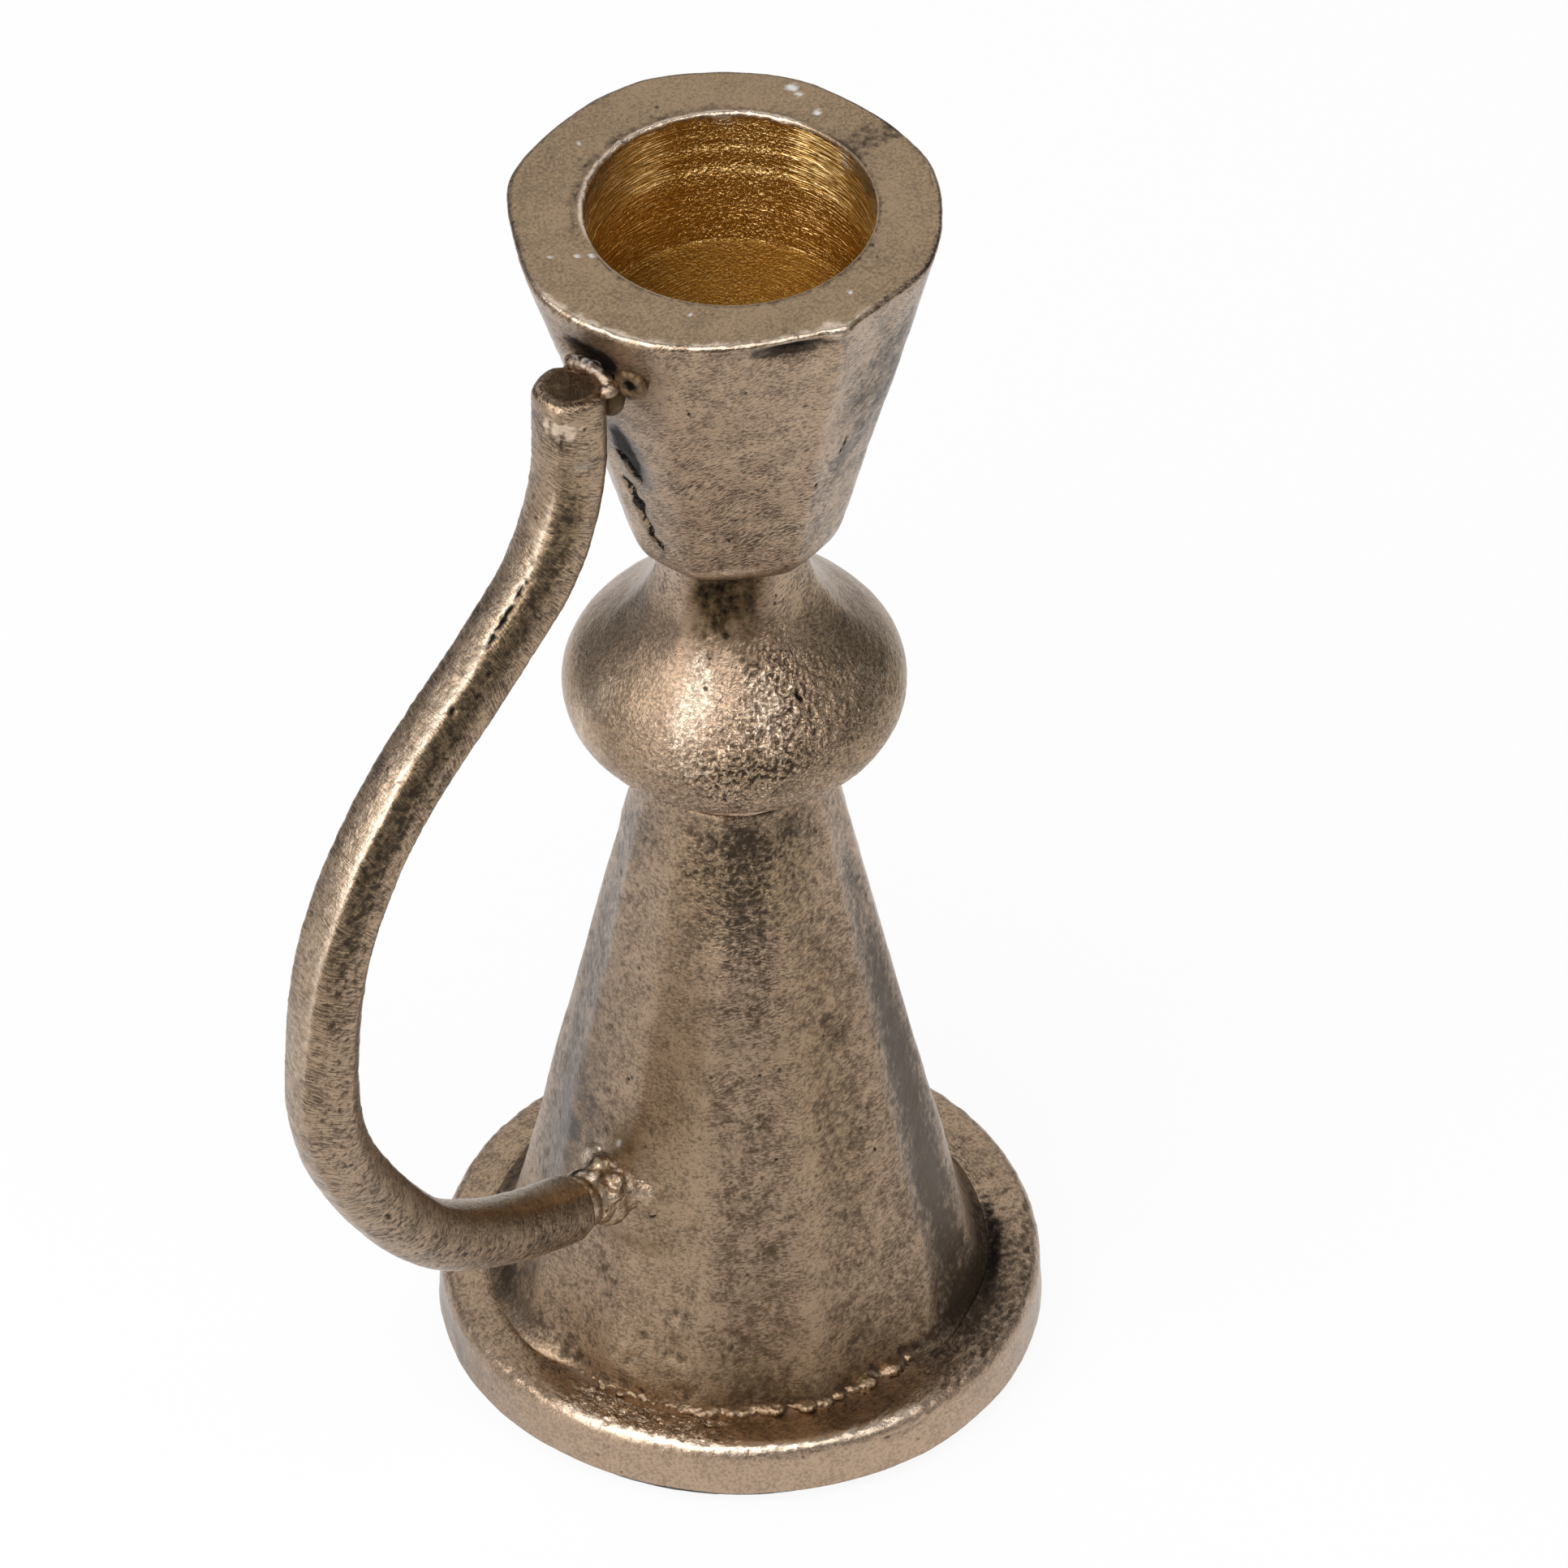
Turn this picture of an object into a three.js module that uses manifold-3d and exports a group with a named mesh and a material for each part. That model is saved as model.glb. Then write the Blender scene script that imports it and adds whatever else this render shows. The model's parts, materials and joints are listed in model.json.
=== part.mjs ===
import * as THREE from "three";
import { mergeVertices } from "three/addons/utils/BufferGeometryUtils.js";
import Module from "manifold-3d";

// A taper candle holder: four castings stacked on a stud, and a bent rod handle welded to two of them.
// Millimetres, +Z up. The origin is the centre of the pad's underside, and the handle lies on the -X side.

// Clearance between pieces that touch
const jointGap = 0.3;

// Base pad
const padThickness = 1.0;
const padInset = 1.6;

// Foot: a ring with a rounded, raised edge and a flat seat for the cone
const footLedge = 5.3;
const footEdgeHeight = 5.1;
const footSeatHeight = 3.4;
const footGrooveWidth = 1.3;
const footCrestInset = 1.3;
const footDraft = 0.2;
const footUnderChamfer = 0.3;

// Cone stem: a hollow casting with a thick roof
const coneFootDiameter = 40.4;
const coneShoulderDiameter = 19.6;
const coneTopDiameter = 15.0;
const coneHeight = 57.1;
const coneShoulderDrop = 8.6;
const coneWall = 3.5;
const coneRoof = 15.0;
const coneSeatWidth = 1.6;
const coneRegisterDepth = 2.0;
const coneFlatDepth = 0.75;

// Knop: a flattened ball between two necks
const knopDiameter = 28.2;
const knopHeight = 24.7;
const knopBellyHeight = 8.7;
const knopUnderNeckDiameter = 14.8;
const knopUpperNeckDiameter = 12.0;
const knopUnderFullness = 0.41;
const knopShoulderFullness = 0.36;
const knopFlatDepth = 0.45;

// Candle cup
const cupRimDiameter = 35.4;
const cupWaistDiameter = 19.4;
const cupWaistHeight = 4.5;
const cupHeight = 33.8;
const cupRimBevel = 0.7;
const cupFlatDepth = 0.35;
const socketDiameter = 23.0;
const socketDepth = 13.0;

// What holds the stack together
const studDiameter = 5.0;
const studGrip = 11.0;
const studTail = 1.5;
const washerDiameter = 10.0;
const washerThickness = 1.0;
const nutAcrossFlats = 8.0;
const nutHeight = 4.0;
const neckWall = 1.5;
const spigotLength = 1.7;

// Handle: its heights are set from the cup's rim and the cone's foot, its reach from the axis
const rodDiameter = 6.0;
const handleTopDrop = 5.7;
const handleStraight = 10.0;
const handleLean = 0.6;
const handleReach = 50.8;
const handleReachHeight = 58.3;
const handleFootHeight = 21.2;
const handleStandOff = 1.4;

// Weld metal: lump sizes, and how each lump is stretched along X, Y and Z
const upperWeldDiameter = 4.4;
const sideWeldDiameter = 3.6;
const lowerWeldDiameter = 5.2;
const behindRodStretch = [0.9, 1.15, 0.9];
const besideRodStretch = [0.8, 0.8, 1.2];
const sideWeldStretch = [0.9, 0.8, 1.1];

// Bead at the cone's foot: pitch and swell as shares of its diameter, and the swell's turn per ripple
const footBeadDiameter = 2.6;
const footBeadPitch = 0.62;
const footBeadSwell = 0.12;
const footBeadBeat = 1.9;

// Directions of the soft ridges between the hand-dressed flats, in degrees from +X
const fullTurn = 360;
const coneRidges = [-174, -148, -119, -82, -53, -24, 5, 34, 65, 95, 125, 156];
const knopRidges = [-175, -112, -52, 8, 68, 128];
const cupRidges = [-159, -107, -73, -30, 20, 64, 117, 167];

// The bead at the cone's foot runs over this arc
const footBeadFrom = -180;
const footBeadTo = -94;

// The rod's bends, as shares of the way from its straight top to its reach, and from there to its foot
const upperBends = [[0.11, 0.165], [0.29, 0.265], [0.72, 0.48], [0.92, 0.69]];
const lowerBends = [[0.02, 0.19], [0.12, 0.4], [0.34, 0.69], [0.59, 0.89], [0.8, 0.97]];

// Lumps of the lower weld: shares of its diameter to the side and up, and each lump's size
const lowerWeldLumps = [
  [0, 0.1, 1],
  [0.06, 0.5, 0.55],
  [0.42, 0.12, 0.62],
  [-0.45, 0, 0.6],
  [-0.7, -0.3, 0.5],
];

// Fineness of the faces
const castSides = 48;
const holeSides = 32;
const rodSides = 14;
const rodSteps = 52;
const curveSteps = 6;
const lumpSides = 9;
const lumpRings = 6;

// Heights of the stack, from the ground up
const footBottom = padThickness + jointGap;
const footSeat = footBottom + footSeatHeight;
const coneBottom = footSeat + jointGap;
const coneTop = coneBottom + coneHeight;
const knopBottom = coneTop + jointGap;
const knopTop = knopBottom + knopHeight;
const cupBottom = knopTop + jointGap;
const cupTop = cupBottom + cupHeight;
const coneRoofZ = coneTop - coneRoof;

// Radii that fits are taken from
const coneFootRadius = coneFootDiameter / 2;
const footOpeningRadius = coneFootRadius - coneSeatWidth;
const footRadius = coneFootRadius + footLedge;
const studHoleRadius = studDiameter / 2 + jointGap;
const underSpigotRadius = coneTopDiameter / 2 - 2 * neckWall;
const upperSpigotRadius = knopUpperNeckDiameter / 2 - neckWall - jointGap;
const rodRadius = rodDiameter / 2;

const wasm = await Module();
wasm.setup();

// A closed geometry, with its shared corners merged, as a solid that can be joined and cut
function solidOf(geometry) {
  const bare = geometry.clone();
  bare.deleteAttribute("normal");
  bare.deleteAttribute("uv");
  const merged = mergeVertices(bare);
  const corners = [];
  for (let i = 0; i < merged.index.count; i += 3) {
    const face = [0, 1, 2].map((k) => merged.index.getX(i + k));
    if (new Set(face).size === 3) corners.push(...face);
  }
  const vertProperties = new Float32Array(merged.attributes.position.array);
  const triVerts = new Uint32Array(corners);
  return new wasm.Manifold(new wasm.Mesh({ numProp: 3, vertProperties, triVerts }));
}

function piece(name, solid, material) {
  const { vertProperties, triVerts } = solid.getMesh();
  const geometry = new THREE.BufferGeometry();
  geometry.setAttribute("position", new THREE.BufferAttribute(vertProperties, 3));
  geometry.setIndex(new THREE.BufferAttribute(triVerts, 1));
  geometry.computeVertexNormals();
  const mesh = new THREE.Mesh(geometry, material);
  mesh.name = name;
  return mesh;
}

// A profile of radius against height, turned about the Z axis
function turned(profile, sides = castSides) {
  const geometry = new THREE.LatheGeometry(profile.getPoints(curveSteps), sides);
  return geometry.rotateX(Math.PI / 2);
}

function round(radius, low, high, sides = holeSides) {
  const geometry = new THREE.CylinderGeometry(radius, radius, high - low, sides);
  return solidOf(geometry.rotateX(Math.PI / 2).translate(0, 0, (low + high) / 2));
}

// Radius of a soft polygon at an angle, as a share of the radius at its ridges
function flatShare(angle, ridges) {
  const degrees = THREE.MathUtils.radToDeg(angle);
  const last = ridges.length - 1;
  for (let i = 0; i <= last; i += 1) {
    const from = ridges[i];
    const to = i < last ? ridges[i + 1] : ridges[0] + fullTurn;
    const turn = THREE.MathUtils.euclideanModulo(degrees - from, fullTurn);
    if (turn <= to - from) {
      const half = THREE.MathUtils.degToRad(to - from) / 2;
      return Math.cos(half) / Math.cos(THREE.MathUtils.degToRad(turn) - half);
    }
  }
  return 1;
}

// Dresses a turned casting with soft flats, as deep as depthAt says for each height
function dressFlats(geometry, ridges, depthAt) {
  const corners = geometry.attributes.position;
  for (let i = 0; i < corners.count; i += 1) {
    const angle = Math.atan2(corners.getY(i), corners.getX(i));
    const share = 1 - depthAt(corners.getZ(i)) * (1 - flatShare(angle, ridges));
    corners.setXY(i, corners.getX(i) * share, corners.getY(i) * share);
  }
  return geometry;
}

// Outer radius of the plain cone and the plain cup at a height
function coneRadiusAt(z) {
  const rise = (z - coneBottom) / (coneHeight - coneShoulderDrop);
  return THREE.MathUtils.lerp(coneFootRadius, coneShoulderDiameter / 2, rise);
}

function cupRadiusAt(z) {
  const rise = (z - cupBottom - cupWaistHeight) / (cupHeight - cupWaistHeight);
  return THREE.MathUtils.lerp(cupWaistDiameter / 2, cupRimDiameter / 2, rise);
}

function padSolid() {
  return round(footRadius - padInset, 0, padThickness, castSides);
}

function footSolid() {
  const crestRadius = footRadius - footCrestInset;
  const grooveRadius = coneFootRadius + footGrooveWidth;
  const crest = footBottom + footEdgeHeight;
  const profile = new THREE.Path();
  profile.moveTo(footOpeningRadius, footBottom);
  profile.lineTo(footRadius - footUnderChamfer, footBottom);
  profile.lineTo(footRadius, footBottom + footUnderChamfer);
  profile.lineTo(footRadius - footDraft, crest - footCrestInset);
  profile.quadraticCurveTo(footRadius - footDraft, crest, crestRadius, crest);
  const slope = (crestRadius + grooveRadius) / 2;
  profile.bezierCurveTo(slope, crest, slope, footSeat, grooveRadius, footSeat);
  profile.lineTo(footOpeningRadius, footSeat);
  profile.closePath();
  return solidOf(turned(profile));
}

// The cone's outer form, widened by a clearance where it is used to cut its neighbours
function coneForm(grow = 0) {
  const shoulder = coneTop - coneShoulderDrop;
  const top = coneTop + grow;
  const topRadius = coneTopDiameter / 2 + grow;
  const profile = new THREE.Path();
  profile.moveTo(0, coneBottom - grow);
  profile.lineTo(coneFootRadius + grow, coneBottom - grow);
  profile.lineTo(coneShoulderDiameter / 2 + grow, shoulder);
  profile.quadraticCurveTo(coneRadiusAt(coneTop - coneShoulderDrop / 3) + grow, top, topRadius, top);
  profile.lineTo(0, top);
  return solidOf(dressFlats(turned(profile), coneRidges, () => coneFlatDepth));
}

function coneSolid() {
  const registerRadius = footOpeningRadius - jointGap;
  const registerBottom = coneBottom - coneRegisterDepth - jointGap;
  const cavityRadius = coneFootRadius - coneWall;
  const cavity = new THREE.Path();
  cavity.moveTo(0, registerBottom - coneWall);
  cavity.lineTo(cavityRadius, registerBottom - coneWall);
  cavity.lineTo(cavityRadius, coneBottom);
  cavity.lineTo(coneRadiusAt(coneRoofZ) - coneWall, coneRoofZ);
  cavity.lineTo(0, coneRoofZ);
  const register = round(registerRadius, registerBottom, coneBottom + coneWall, castSides);
  const spigotSeat = round(underSpigotRadius + jointGap, coneTop - spigotLength, coneTop + coneWall);
  const studHole = round(studHoleRadius, coneRoofZ - coneWall, coneTop);
  return coneForm().add(register).subtract(solidOf(turned(cavity))).subtract(spigotSeat).subtract(studHole);
}

function knopSolid() {
  const belly = knopDiameter / 2;
  const under = knopUnderNeckDiameter / 2;
  const upper = knopUpperNeckDiameter / 2;
  const bellyZ = knopBottom + knopBellyHeight;
  const underZ = knopBottom + knopBellyHeight * knopUnderFullness;
  const shoulderZ = THREE.MathUtils.lerp(bellyZ, knopTop, knopShoulderFullness);
  const profile = new THREE.Path();
  profile.moveTo(0, knopBottom);
  profile.lineTo(under, knopBottom);
  profile.bezierCurveTo(under, underZ, belly, underZ, belly, bellyZ);
  profile.bezierCurveTo(belly, shoulderZ, upper, shoulderZ, upper, knopTop);
  profile.lineTo(0, knopTop);
  const rise = (z) => THREE.MathUtils.smoothstep(z, bellyZ, shoulderZ + upper);
  const form = solidOf(dressFlats(turned(profile), knopRidges, (z) => knopFlatDepth * rise(z)));
  const spigot = round(underSpigotRadius, knopBottom - spigotLength, knopBottom + neckWall);
  const recess = round(upperSpigotRadius + jointGap, knopTop - spigotLength - jointGap, knopTop + neckWall);
  const studHole = round(studHoleRadius, knopBottom - 2 * spigotLength, knopTop);
  return form.add(spigot).subtract(recess).subtract(studHole);
}

// The cup's outer form, widened by a clearance where it is used to cut its neighbours
function cupForm(grow = 0) {
  const neck = knopUpperNeckDiameter / 2 + grow;
  const waist = cupWaistDiameter / 2 + grow;
  const rim = cupRimDiameter / 2 + grow;
  const profile = new THREE.Path();
  profile.moveTo(0, cupBottom - grow);
  profile.lineTo(neck, cupBottom - grow);
  profile.quadraticCurveTo(waist - neckWall / 2, cupBottom, waist, cupBottom + cupWaistHeight);
  profile.lineTo(rim, cupTop - cupRimBevel);
  profile.lineTo(rim - cupRimBevel, cupTop + grow);
  profile.lineTo(0, cupTop + grow);
  return solidOf(dressFlats(turned(profile), cupRidges, () => cupFlatDepth));
}

function cupSolid() {
  const socket = round(socketDiameter / 2, cupTop - socketDepth, cupTop + socketDepth, castSides);
  const spigot = round(upperSpigotRadius, cupBottom - spigotLength, cupBottom + neckWall);
  const studHole = round(studHoleRadius, cupBottom - 2 * spigotLength, cupBottom + studGrip + jointGap);
  return cupForm().add(spigot).subtract(socket).subtract(studHole);
}

// The washer and the nut hang under the cone's roof, and the stud runs up from them into the cup
const washerTop = coneRoofZ - jointGap;
const nutTop = washerTop - washerThickness - jointGap;
const studBottom = nutTop - nutHeight - studTail;

function studSolid() {
  return round(studDiameter / 2, studBottom, cupBottom + studGrip);
}

function washerSolid() {
  const disc = round(washerDiameter / 2, washerTop - washerThickness, washerTop);
  return disc.subtract(round(studHoleRadius, washerTop - 2 * washerThickness, washerTop + washerThickness));
}

function nutSolid() {
  const cornerRadius = nutAcrossFlats / 2 / Math.cos(Math.PI / 6);
  const hexagon = new THREE.CylinderGeometry(cornerRadius, cornerRadius, nutHeight, 6);
  const block = solidOf(hexagon.rotateX(Math.PI / 2).translate(0, 0, nutTop - nutHeight / 2));
  return block.subtract(round(studHoleRadius, nutTop - 2 * nutHeight, nutTop + nutHeight));
}

// The rod's centre line: straight down beside the cup, out to its reach, and back in to the cone
const handleTop = cupTop - handleTopDrop;
const handleReachZ = coneBottom + handleReachHeight;
const handleFootZ = coneBottom + handleFootHeight;
const rodTopReach = cupRadiusAt(handleTop) + jointGap + rodRadius;
const rodFootReach = coneRadiusAt(handleFootZ - rodRadius) + handleStandOff;

function rodCentre() {
  const straight = [rodTopReach + handleLean, handleTop - handleStraight];
  const reach = [handleReach, handleReachZ];
  const foot = [rodFootReach, handleFootZ];
  const between = (a, b, share) => a.map((start, k) => THREE.MathUtils.lerp(start, b[k], share[k]));
  const stations = [
    [rodTopReach, handleTop],
    straight,
    ...upperBends.map((share) => between(straight, reach, share)),
    reach,
    ...lowerBends.map((share) => between(reach, foot, share)),
    foot,
  ];
  return new THREE.CatmullRomCurve3(stations.map(([out, z]) => new THREE.Vector3(-out, 0, z)));
}

function rodForm(grow = 0) {
  const section = new THREE.Shape();
  section.absarc(0, 0, rodRadius + grow, 0, 2 * Math.PI);
  const options = { extrudePath: rodCentre(), steps: rodSteps, curveSegments: rodSides / 2 };
  return solidOf(new THREE.ExtrudeGeometry(section, options));
}

// One lump of weld metal, longer or flatter than a ball
function lump(diameter, centre, stretch = [1, 1, 1]) {
  const ball = new THREE.SphereGeometry(diameter / 2, lumpSides, lumpRings);
  return solidOf(ball.scale(...stretch).translate(...centre));
}

function upperWeldSolid() {
  const out = cupRadiusAt(handleTop) + jointGap;
  const rise = upperWeldDiameter / 4;
  const behind = lump(upperWeldDiameter, [-out, rise, handleTop], behindRodStretch);
  const beside = lump(upperWeldDiameter, [-out, 2 * rise, handleTop - 2 * rise], besideRodStretch);
  return behind.add(beside).subtract(cupForm(jointGap)).subtract(rodForm(jointGap));
}

function sideWeldSolid() {
  const height = handleTop - sideWeldDiameter / 2;
  const out = cupRadiusAt(height) + jointGap;
  const aside = upperWeldDiameter / 4 + sideWeldDiameter / 2 + jointGap;
  const body = lump(sideWeldDiameter, [-out, -aside, height], sideWeldStretch);
  return body.subtract(cupForm(jointGap)).subtract(rodForm(jointGap));
}

// The rod ends short of the cone, and lumps of weld bridge the space with a run-out towards -Y
function lowerWeldSolid() {
  const lumps = lowerWeldLumps.map(([aside, up, size]) => {
    const z = handleFootZ + up * lowerWeldDiameter;
    const out = coneRadiusAt(z) + handleStandOff * size;
    return lump(size * lowerWeldDiameter, [-out, aside * lowerWeldDiameter, z]);
  });
  const weld = lumps.reduce((joined, body) => joined.add(body));
  return weld.subtract(coneForm(jointGap)).subtract(rodForm(jointGap));
}

// A rippled bead in the corner between the cone's flank and the foot's seat
function footWeldSolid() {
  const sweep = THREE.MathUtils.degToRad(footBeadTo - footBeadFrom);
  const start = THREE.MathUtils.degToRad(footBeadFrom);
  const out = coneFootRadius + jointGap;
  const ripples = Math.round((sweep * out) / (footBeadDiameter * footBeadPitch));
  const ground = round(footRadius, footBottom, coneBottom, castSides);
  const bead = Array.from({ length: ripples + 1 }, (_, i) => {
    const angle = start + (sweep * i) / ripples;
    const size = footBeadDiameter * (1 + footBeadSwell * Math.sin(footBeadBeat * i));
    return lump(size, [out * Math.cos(angle), out * Math.sin(angle), coneBottom]);
  }).reduce((joined, body) => joined.add(body));
  return bead.subtract(coneForm(jointGap)).subtract(ground);
}

function metal(colour, roughness) {
  return new THREE.MeshStandardMaterial({ color: colour, roughness, metalness: 1 });
}

const antiqueBrass = 0x8f7a57;
const wornBrass = 0xa08a63;
const weldGrey = 0x9a8c74;
const zincSteel = 0xa7a9a8;
const darkFelt = 0x2b2724;

const candleHolder = new THREE.Group();
candleHolder.name = "taper_candle_holder";
candleHolder.add(
  piece("base_pad", padSolid(), new THREE.MeshStandardMaterial({ color: darkFelt, roughness: 0.95 })),
  piece("foot", footSolid(), metal(antiqueBrass, 0.45)),
  piece("cone_stem", coneSolid(), metal(antiqueBrass, 0.5)),
  piece("knop", knopSolid(), metal(wornBrass, 0.38)),
  piece("candle_cup", cupSolid(), metal(antiqueBrass, 0.5)),
  piece("tie_stud", studSolid(), metal(zincSteel, 0.4)),
  piece("washer", washerSolid(), metal(zincSteel, 0.4)),
  piece("hex_nut", nutSolid(), metal(zincSteel, 0.4)),
  piece("handle_rod", rodForm(), metal(wornBrass, 0.42)),
  piece("upper_weld", upperWeldSolid(), metal(weldGrey, 0.4)),
  piece("upper_weld_side", sideWeldSolid(), metal(weldGrey, 0.4)),
  piece("lower_weld", lowerWeldSolid(), metal(weldGrey, 0.4)),
  piece("foot_weld", footWeldSolid(), metal(weldGrey, 0.45)),
);

export default candleHolder;
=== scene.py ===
import bpy
import bmesh
import json
import math
from itertools import product

import numpy as np
from mathutils import Matrix, Vector


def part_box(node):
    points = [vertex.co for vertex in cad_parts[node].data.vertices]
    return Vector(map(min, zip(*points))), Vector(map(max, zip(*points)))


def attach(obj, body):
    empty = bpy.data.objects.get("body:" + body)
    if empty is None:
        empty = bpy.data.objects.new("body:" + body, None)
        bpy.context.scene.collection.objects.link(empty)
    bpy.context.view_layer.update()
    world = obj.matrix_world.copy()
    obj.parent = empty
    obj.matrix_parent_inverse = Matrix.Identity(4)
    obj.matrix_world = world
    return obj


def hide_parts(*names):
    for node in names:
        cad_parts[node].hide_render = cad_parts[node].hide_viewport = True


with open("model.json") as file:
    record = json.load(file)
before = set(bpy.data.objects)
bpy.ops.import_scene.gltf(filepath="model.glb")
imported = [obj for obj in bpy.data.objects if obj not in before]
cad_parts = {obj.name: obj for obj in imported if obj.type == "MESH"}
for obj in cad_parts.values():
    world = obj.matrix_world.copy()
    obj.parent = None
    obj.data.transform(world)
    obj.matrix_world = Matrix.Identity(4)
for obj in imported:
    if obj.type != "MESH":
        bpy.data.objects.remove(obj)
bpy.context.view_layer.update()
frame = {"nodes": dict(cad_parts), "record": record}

# Lengths are in millimetres until a mesh or a lamp is made.
# Azimuths are in degrees as the camera sees the holder: 0 faces it, + is to its right.
mm = 0.001
facingAngle = -139  # from +X to azimuth 0
crackReach = 3.0  # width of the strip along a crack in which the distance from it is known
# patina, rubbed, cool, scorch, ochre and soot carry painted shade, painted dark reflections and painted
# highlights as well as the metal's own stains and wear
markNames = ["patina", "rubbed", "cool", "scorch", "ochre", "soot", "chip", "wrinkle", "crack"]


def angleOf(azimuth):
    return np.radians(np.asarray(azimuth, float) + facingAngle)


def outward(azimuth):  # level direction away from the axis
    return np.array([math.cos(angleOf(azimuth)), math.sin(angleOf(azimuth)), 0])


def boxTop(node):
    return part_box(node)[1].z / mm


def addObject(name, data):
    made = bpy.data.objects.new(name, data)
    bpy.context.scene.collection.objects.link(made)
    return made


# Camera: it looks down at the holder from a long way off
cameraView = dict(away=879.4, height=873.1, pitch=42.79, yaw=0.19, roll=0.60, lens=335.4)


def addCamera(view):
    pitch, yaw, roll = (math.radians(view[key]) for key in ("pitch", "yaw", "roll"))
    up = np.array([0, 0, 1.0])
    level = -outward(0)
    forward = math.cos(pitch) * level - math.sin(pitch) * up
    right = np.cross(level, up)
    down = -math.sin(pitch) * level - math.cos(pitch) * up
    forward, right = (forward * math.cos(yaw) + right * math.sin(yaw),
                      right * math.cos(yaw) - forward * math.sin(yaw))
    right, down = (right * math.cos(roll) + down * math.sin(roll),
                   down * math.cos(roll) - right * math.sin(roll))
    place = outward(0) * view["away"] * mm + up * view["height"] * mm
    data = bpy.data.cameras.new("view")
    data.lens = view["lens"]
    data.clip_end = 20
    camera = addObject("view", data)
    turn = np.column_stack([right, -down, -forward])
    camera.matrix_world = Matrix.Translation(place) @ Matrix(turn.tolist()).to_4x4()
    bpy.context.scene.camera = camera


addCamera(cameraView)
print("camera placed")


# Smooth random fields and marks on the surfaces
leanings = np.random.default_rng(11).normal(size=(256, 3))
leanings /= np.linalg.norm(leanings, axis=1, keepdims=True)


def lumps(points, size, seed):  # about -1 to 1, with lumps of the given size
    place = points / size + 31.7 * seed
    cell = np.floor(place).astype(np.int64)
    part = place - cell
    ease = part ** 3 * (part * (part * 6 - 15) + 10)
    total = np.zeros(points.shape[:-1])
    for corner in product((0, 1), repeat=3):
        at = cell + corner
        pick = (at[..., 0] * 73856093) ^ (at[..., 1] * 19349663) ^ (at[..., 2] * 83492791)
        lean = leanings[((pick * 668265263) >> 11) & 255]
        weight = np.prod(np.where(np.array(corner) == 1, ease, 1 - ease), axis=-1)
        total += weight * ((part - corner) * lean).sum(-1)
    return total * 1.7


def cloud(points, size, seed, layers=3):  # the same, with finer lumps on it
    total = sum(lumps(points, size / 2 ** k, seed + k) / 1.8 ** k for k in range(layers))
    return total / 1.4


def castSkin(grid, layers):  # uneven skin of a sand casting, from broad lumps and finer clouds
    (broad, *lumpFigures), *finer = layers
    clouds = (height * cloud(grid, *figures) for height, *figures in finer)
    return sum(clouds, broad * lumps(grid, *lumpFigures))


def wormRidges(points, size, seed):  # narrow winding ridges, 0 to 1
    bent = points + 0.45 * size * np.stack([lumps(points, size, seed + k) for k in (1, 2, 3)], axis=-1)
    return np.clip(1 - 2.6 * np.abs(lumps(bent, size, seed)), 0, 1)


def stretched(grid, share):  # the same points with their heights drawn out
    return grid * np.array([1, 1, share])


def bell(away, width):  # 1 at no distance, fading to both sides
    return np.exp(-(away / width) ** 2)


def easeStep(low, high, value):
    share = np.clip((value - low) / (high - low), 0, 1)
    return share * share * (3 - 2 * share)


def band(rise, full, fade, end, value):  # 1 between full and fade, 0 before rise and after end
    return easeStep(rise, full, value) * (1 - easeStep(fade, end, value))


def turnFrom(angles, azimuth):  # signed angle from an azimuth
    return (angles - angleOf(azimuth) + np.pi) % (2 * np.pi) - np.pi


def azimuthOf(angles):
    return np.degrees(turnFrom(angles, 0))


def spot(angles, heights, azimuth, height, wide, tall):  # soft mark, wide in degrees and tall in mm
    aside = turnFrom(angles, azimuth) / math.radians(wide)
    return np.exp(-aside ** 2 - ((heights - height) / tall) ** 2)


def spots(angles, heights, marks):
    return sum(strength * spot(angles, heights, *mark) for *mark, strength in marks)


def spotFields(angles, heights, stainsAndLight):  # one field for each kind of stain and of painted light and shade
    return {key: spots(angles, heights, marks) for key, marks in stainsAndLight.items()}


def lineReach(angles, heights, radius, path):
    # distance over the surface from a line of (azimuth, height) points, and the side: + is to the right
    middle = np.mean([azimuth for azimuth, _ in path])
    across = turnFrom(angles, middle) * radius
    points = [(math.radians(azimuth - middle) * radius, height) for azimuth, height in path]
    nearest = np.full(angles.shape, 1e6)
    side = np.zeros(angles.shape)
    for (u0, z0), (u1, z1) in zip(points, points[1:]):
        run = np.hypot(u1 - u0, z1 - z0)
        share = np.clip(((across - u0) * (u1 - u0) + (heights - z0) * (z1 - z0)) / run ** 2, 0, 1)
        du = across - u0 - share * (u1 - u0)
        dz = heights - z0 - share * (z1 - z0)
        away = np.hypot(du, dz)
        side = np.where(away < nearest, du, side)
        nearest = np.minimum(away, nearest)
    return nearest, side


# Outlines and grids
def runAlong(points, count):  # evenly spaced points along a line of straight stretches
    points = np.array(points, float)
    reach = np.append(0, np.cumsum(np.linalg.norm(np.diff(points, axis=0), axis=1)))
    at = np.linspace(0, reach[-1], count)
    return np.column_stack([np.interp(at, reach, points[:, k]) for k in range(points.shape[1])])


def curve(start, startPull, endPull, end, count):
    share = np.linspace(0, 1, 200)[:, None]
    pulls = [np.array(point, float) for point in (start, startPull, endPull, end)]
    weights = [(1 - share) ** 3, 3 * share * (1 - share) ** 2, 3 * share ** 2 * (1 - share), share ** 3]
    return runAlong(sum(weight * pull for weight, pull in zip(weights, pulls)), count)


def joinRuns(*runs):  # one outline, without the doubled points where two runs meet
    return np.vstack([runs[0], *[run[1:] for run in runs[1:]]])


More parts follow.
